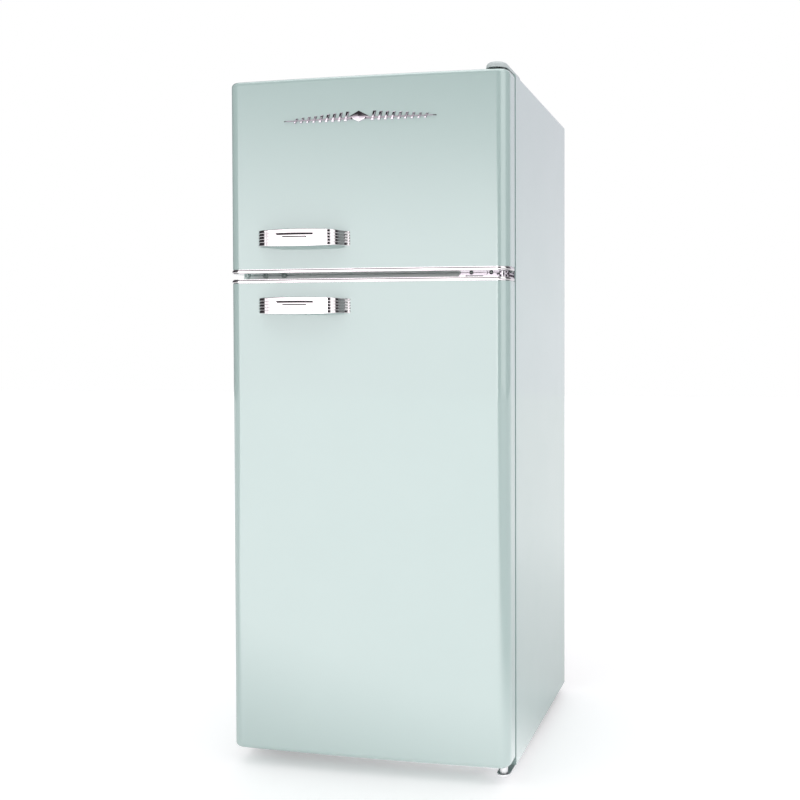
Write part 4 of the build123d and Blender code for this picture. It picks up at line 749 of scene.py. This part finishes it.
FOOT = ((0, 0), (16.5, 0), (17.6, 0.8), (17.6, 6.4), (16.6, 7.6), (11, 8.2), (9, 11.5), (5.2, 11.6))
FOOT_STEPS = 120
FOOT_TEETH = 20
TOOTH_DEPTH = 0.5
THREAD = [(4.95 if k % 2 else 4.4, 8 + 0.55 * k) for k in range(60)]
THREAD_STEPS = 24
TYRE = ((3.05, -6.4), (5.0, -7.0), (6.2, -7.0), (6.6, -5.4), (12.4, -5.4), (12.9, -7.0), (15.0, -7.0),
        (16.0, -5.8), (16.0, -1.2), (15.4, -0.6), (15.4, 0.6), (16.0, 1.2), (16.0, 5.8), (15.0, 7.0),
        (12.9, 7.0), (12.4, 5.4), (6.6, 5.4), (6.2, 7.0), (5.0, 7.0), (3.05, 6.4))
TYRE_STEPS = 64
SPOKES = 6
SPOKE_ENDS = (6.0, 12.8)
SPOKE_SECTION = ((-0.9, -6.6), (0.9, -6.6), (0.9, 6.6), (-0.9, 6.6))
KNOB = ((3.0, 0), (3.0, -15.8), (11.6, -16.0), (12.9, -16.5), (12.7, -23.6), (11.8, -25.0), (10, -25.4),
        (0, -25.5))
KNOB_STEPS = 120
KNOB_RIBS = 30
RIB_DEPTH = 0.25
RIDGE_FOOT = 3.4                  # the pointer ridge starts this much behind the knob's front
RIDGE_ROOT = 0.3
RIDGE_TOP_WIDTH = 0.7             # of its foot's width
RIDGE = ((-10, 1.6), (-8, 2.5), (8, 2.5), (10, 1.6))    # (height on the knob, half width)


def make_foot(side):
    """Levelling foot with a gripping rim and a threaded stem."""
    node = "front_foot_" + side
    middle = middle_of(node)
    at = (middle.x, middle.y, corners(node)[0].z)
    foot = Shape()
    foot.lathe(FOOT, at, UP, FOOT_STEPS, FOOT_TEETH, TOOTH_DEPTH)
    foot.lathe(THREAD, at, UP, THREAD_STEPS)
    foot.build(node + "_threaded", "black_plastic", "foot_" + side, node)


def make_roller(side):
    """Rear roller with a grooved tyre and spokes."""
    node = "rear_roller_" + side
    middle = middle_of(node)
    roller = Shape()
    roller.lathe(TYRE, middle, (1, 0, 0), TYRE_STEPS)
    for angle in full_turn(SPOKES):
        spoke = Vector((0, math.cos(angle), math.sin(angle)))
        flat = Vector((0, -math.sin(angle), math.cos(angle)))
        roller.loft([[middle + spoke * reach + flat * width + Vector((x, 0, 0))
                      for width, x in SPOKE_SECTION] for reach in SPOKE_ENDS])
    roller.build(node + "_spoked", "black_plastic", "roller_" + side, node)


def make_knob():
    """Thermostat knob with a gripping rim, a pointer ridge and its shaft."""
    node = "thermostat_knob"
    low, high = corners(node)
    middle = middle_of(node)
    knob = Shape()
    knob.lathe(KNOB, (middle.x, high.y, middle.z), TO_BACK, KNOB_STEPS, KNOB_RIBS, RIB_DEPTH)
    root = low.y + RIDGE_FOOT + RIDGE_ROOT
    section = ((-1, root), (-RIDGE_TOP_WIDTH, low.y), (RIDGE_TOP_WIDTH, low.y), (1, root))
    knob.loft([[(middle.x + x * width, y, middle.z + z) for x, y in section] for z, width in RIDGE])
    knob.build(node + "_ribbed", "knob_plastic", "thermostat", node)


# ---- condenser --------------------------------------------------------------------------

WIRE_PITCH = 10.0
WIRE_SWEEP = 220.0                # from the middle to the last wire
WIRE_RADIUS = 0.8
WIRE_STAND = 0.6                  # of a wire's middle from the tube


def make_condenser_wires():
    """Thin wires welded to both sides of the condenser tube, by turns."""
    low, high = corners("condenser_wires")
    tube_low, tube_high = corners("condenser_tube")
    lines = []
    for k in range(int(2 * WIRE_SWEEP / WIRE_PITCH) + 1):
        x = -WIRE_SWEEP + WIRE_PITCH * k
        y = tube_high.y + WIRE_STAND if k % 2 else tube_low.y - WIRE_STAND
        lines.append([(x, y, low.z), (x, y, high.z)])
    wires("condenser_wires_welded", lines, WIRE_RADIUS, "black_enamel", "cabinet", "condenser_wires")


# ---- softened edges on the CAD pieces that stay ------------------------------------------

WELD_DISTANCE = 0.00001
BEVEL_FACES = 3
# Width of the bevel, in millimetres.
EDGE_WIDTHS = {
    "top_hinge_bracket": 0.4, "centre_hinge": 0.5, "bottom_hinge_bracket": 0.4,
    "condenser_brackets": 0.8, "compressor": 0.6, "start_relay_cover": 0.8, "evaporation_pan": 0.5,
    "crisper_drawer": 0.8, "freezer_door_bin": 0.8, "fridge_door_bins": 0.8, "bottle_bin": 0.8,
    "egg_tray": 0.8, "ice_tray": 0.8, "shelf_trims": 0.5, "thermostat_housing": 0.6, "lamp_lens": 0.4,
    "freezer_door_liner": 1.2, "fridge_door_liner": 1.2, "freezer_liner": 0.9, "fresh_food_liner": 0.9,
    "shelf_glass": 0.6, "crisper_cover": 0.6, "mains_gland": 0.6, "base_pan": 0.3,
    "compartment_panel": 0.3, "door_switch_plunger": 0.3,
}


def soften_edges():
    """Small rounded edges where pressed and moulded pieces have them."""
    for name, width in EDGE_WIDTHS.items():
        node = nodes[name]
        weld = node.modifiers.new("weld", "WELD")
        weld.merge_threshold = WELD_DISTANCE
        bevel = node.modifiers.new("bevel", "BEVEL")
        bevel.width = width * MM
        bevel.segments = BEVEL_FACES
        bevel.limit_method = "ANGLE"
        bevel.angle_limit = SHARP
        normals = node.modifiers.new("normals", "WEIGHTED_NORMAL")
        normals.keep_sharp = False


# ---- the scene --------------------------------------------------------------------------

make_camera()
make_floor(floor_material())
make_world()
make_lamp()
dress_cad()
soften_edges()
for door in ("freezer", "fridge"):
    make_handle(door + "_handle", door + "_door")
    make_gasket(door + "_door_gasket", door + "_door")
    make_trim(door + "_door_trim", door + "_door")
make_badge()
make_fasteners()
for side in ("left", "right"):
    make_foot(side)
    make_roller(side)
make_knob()
make_condenser_wires()
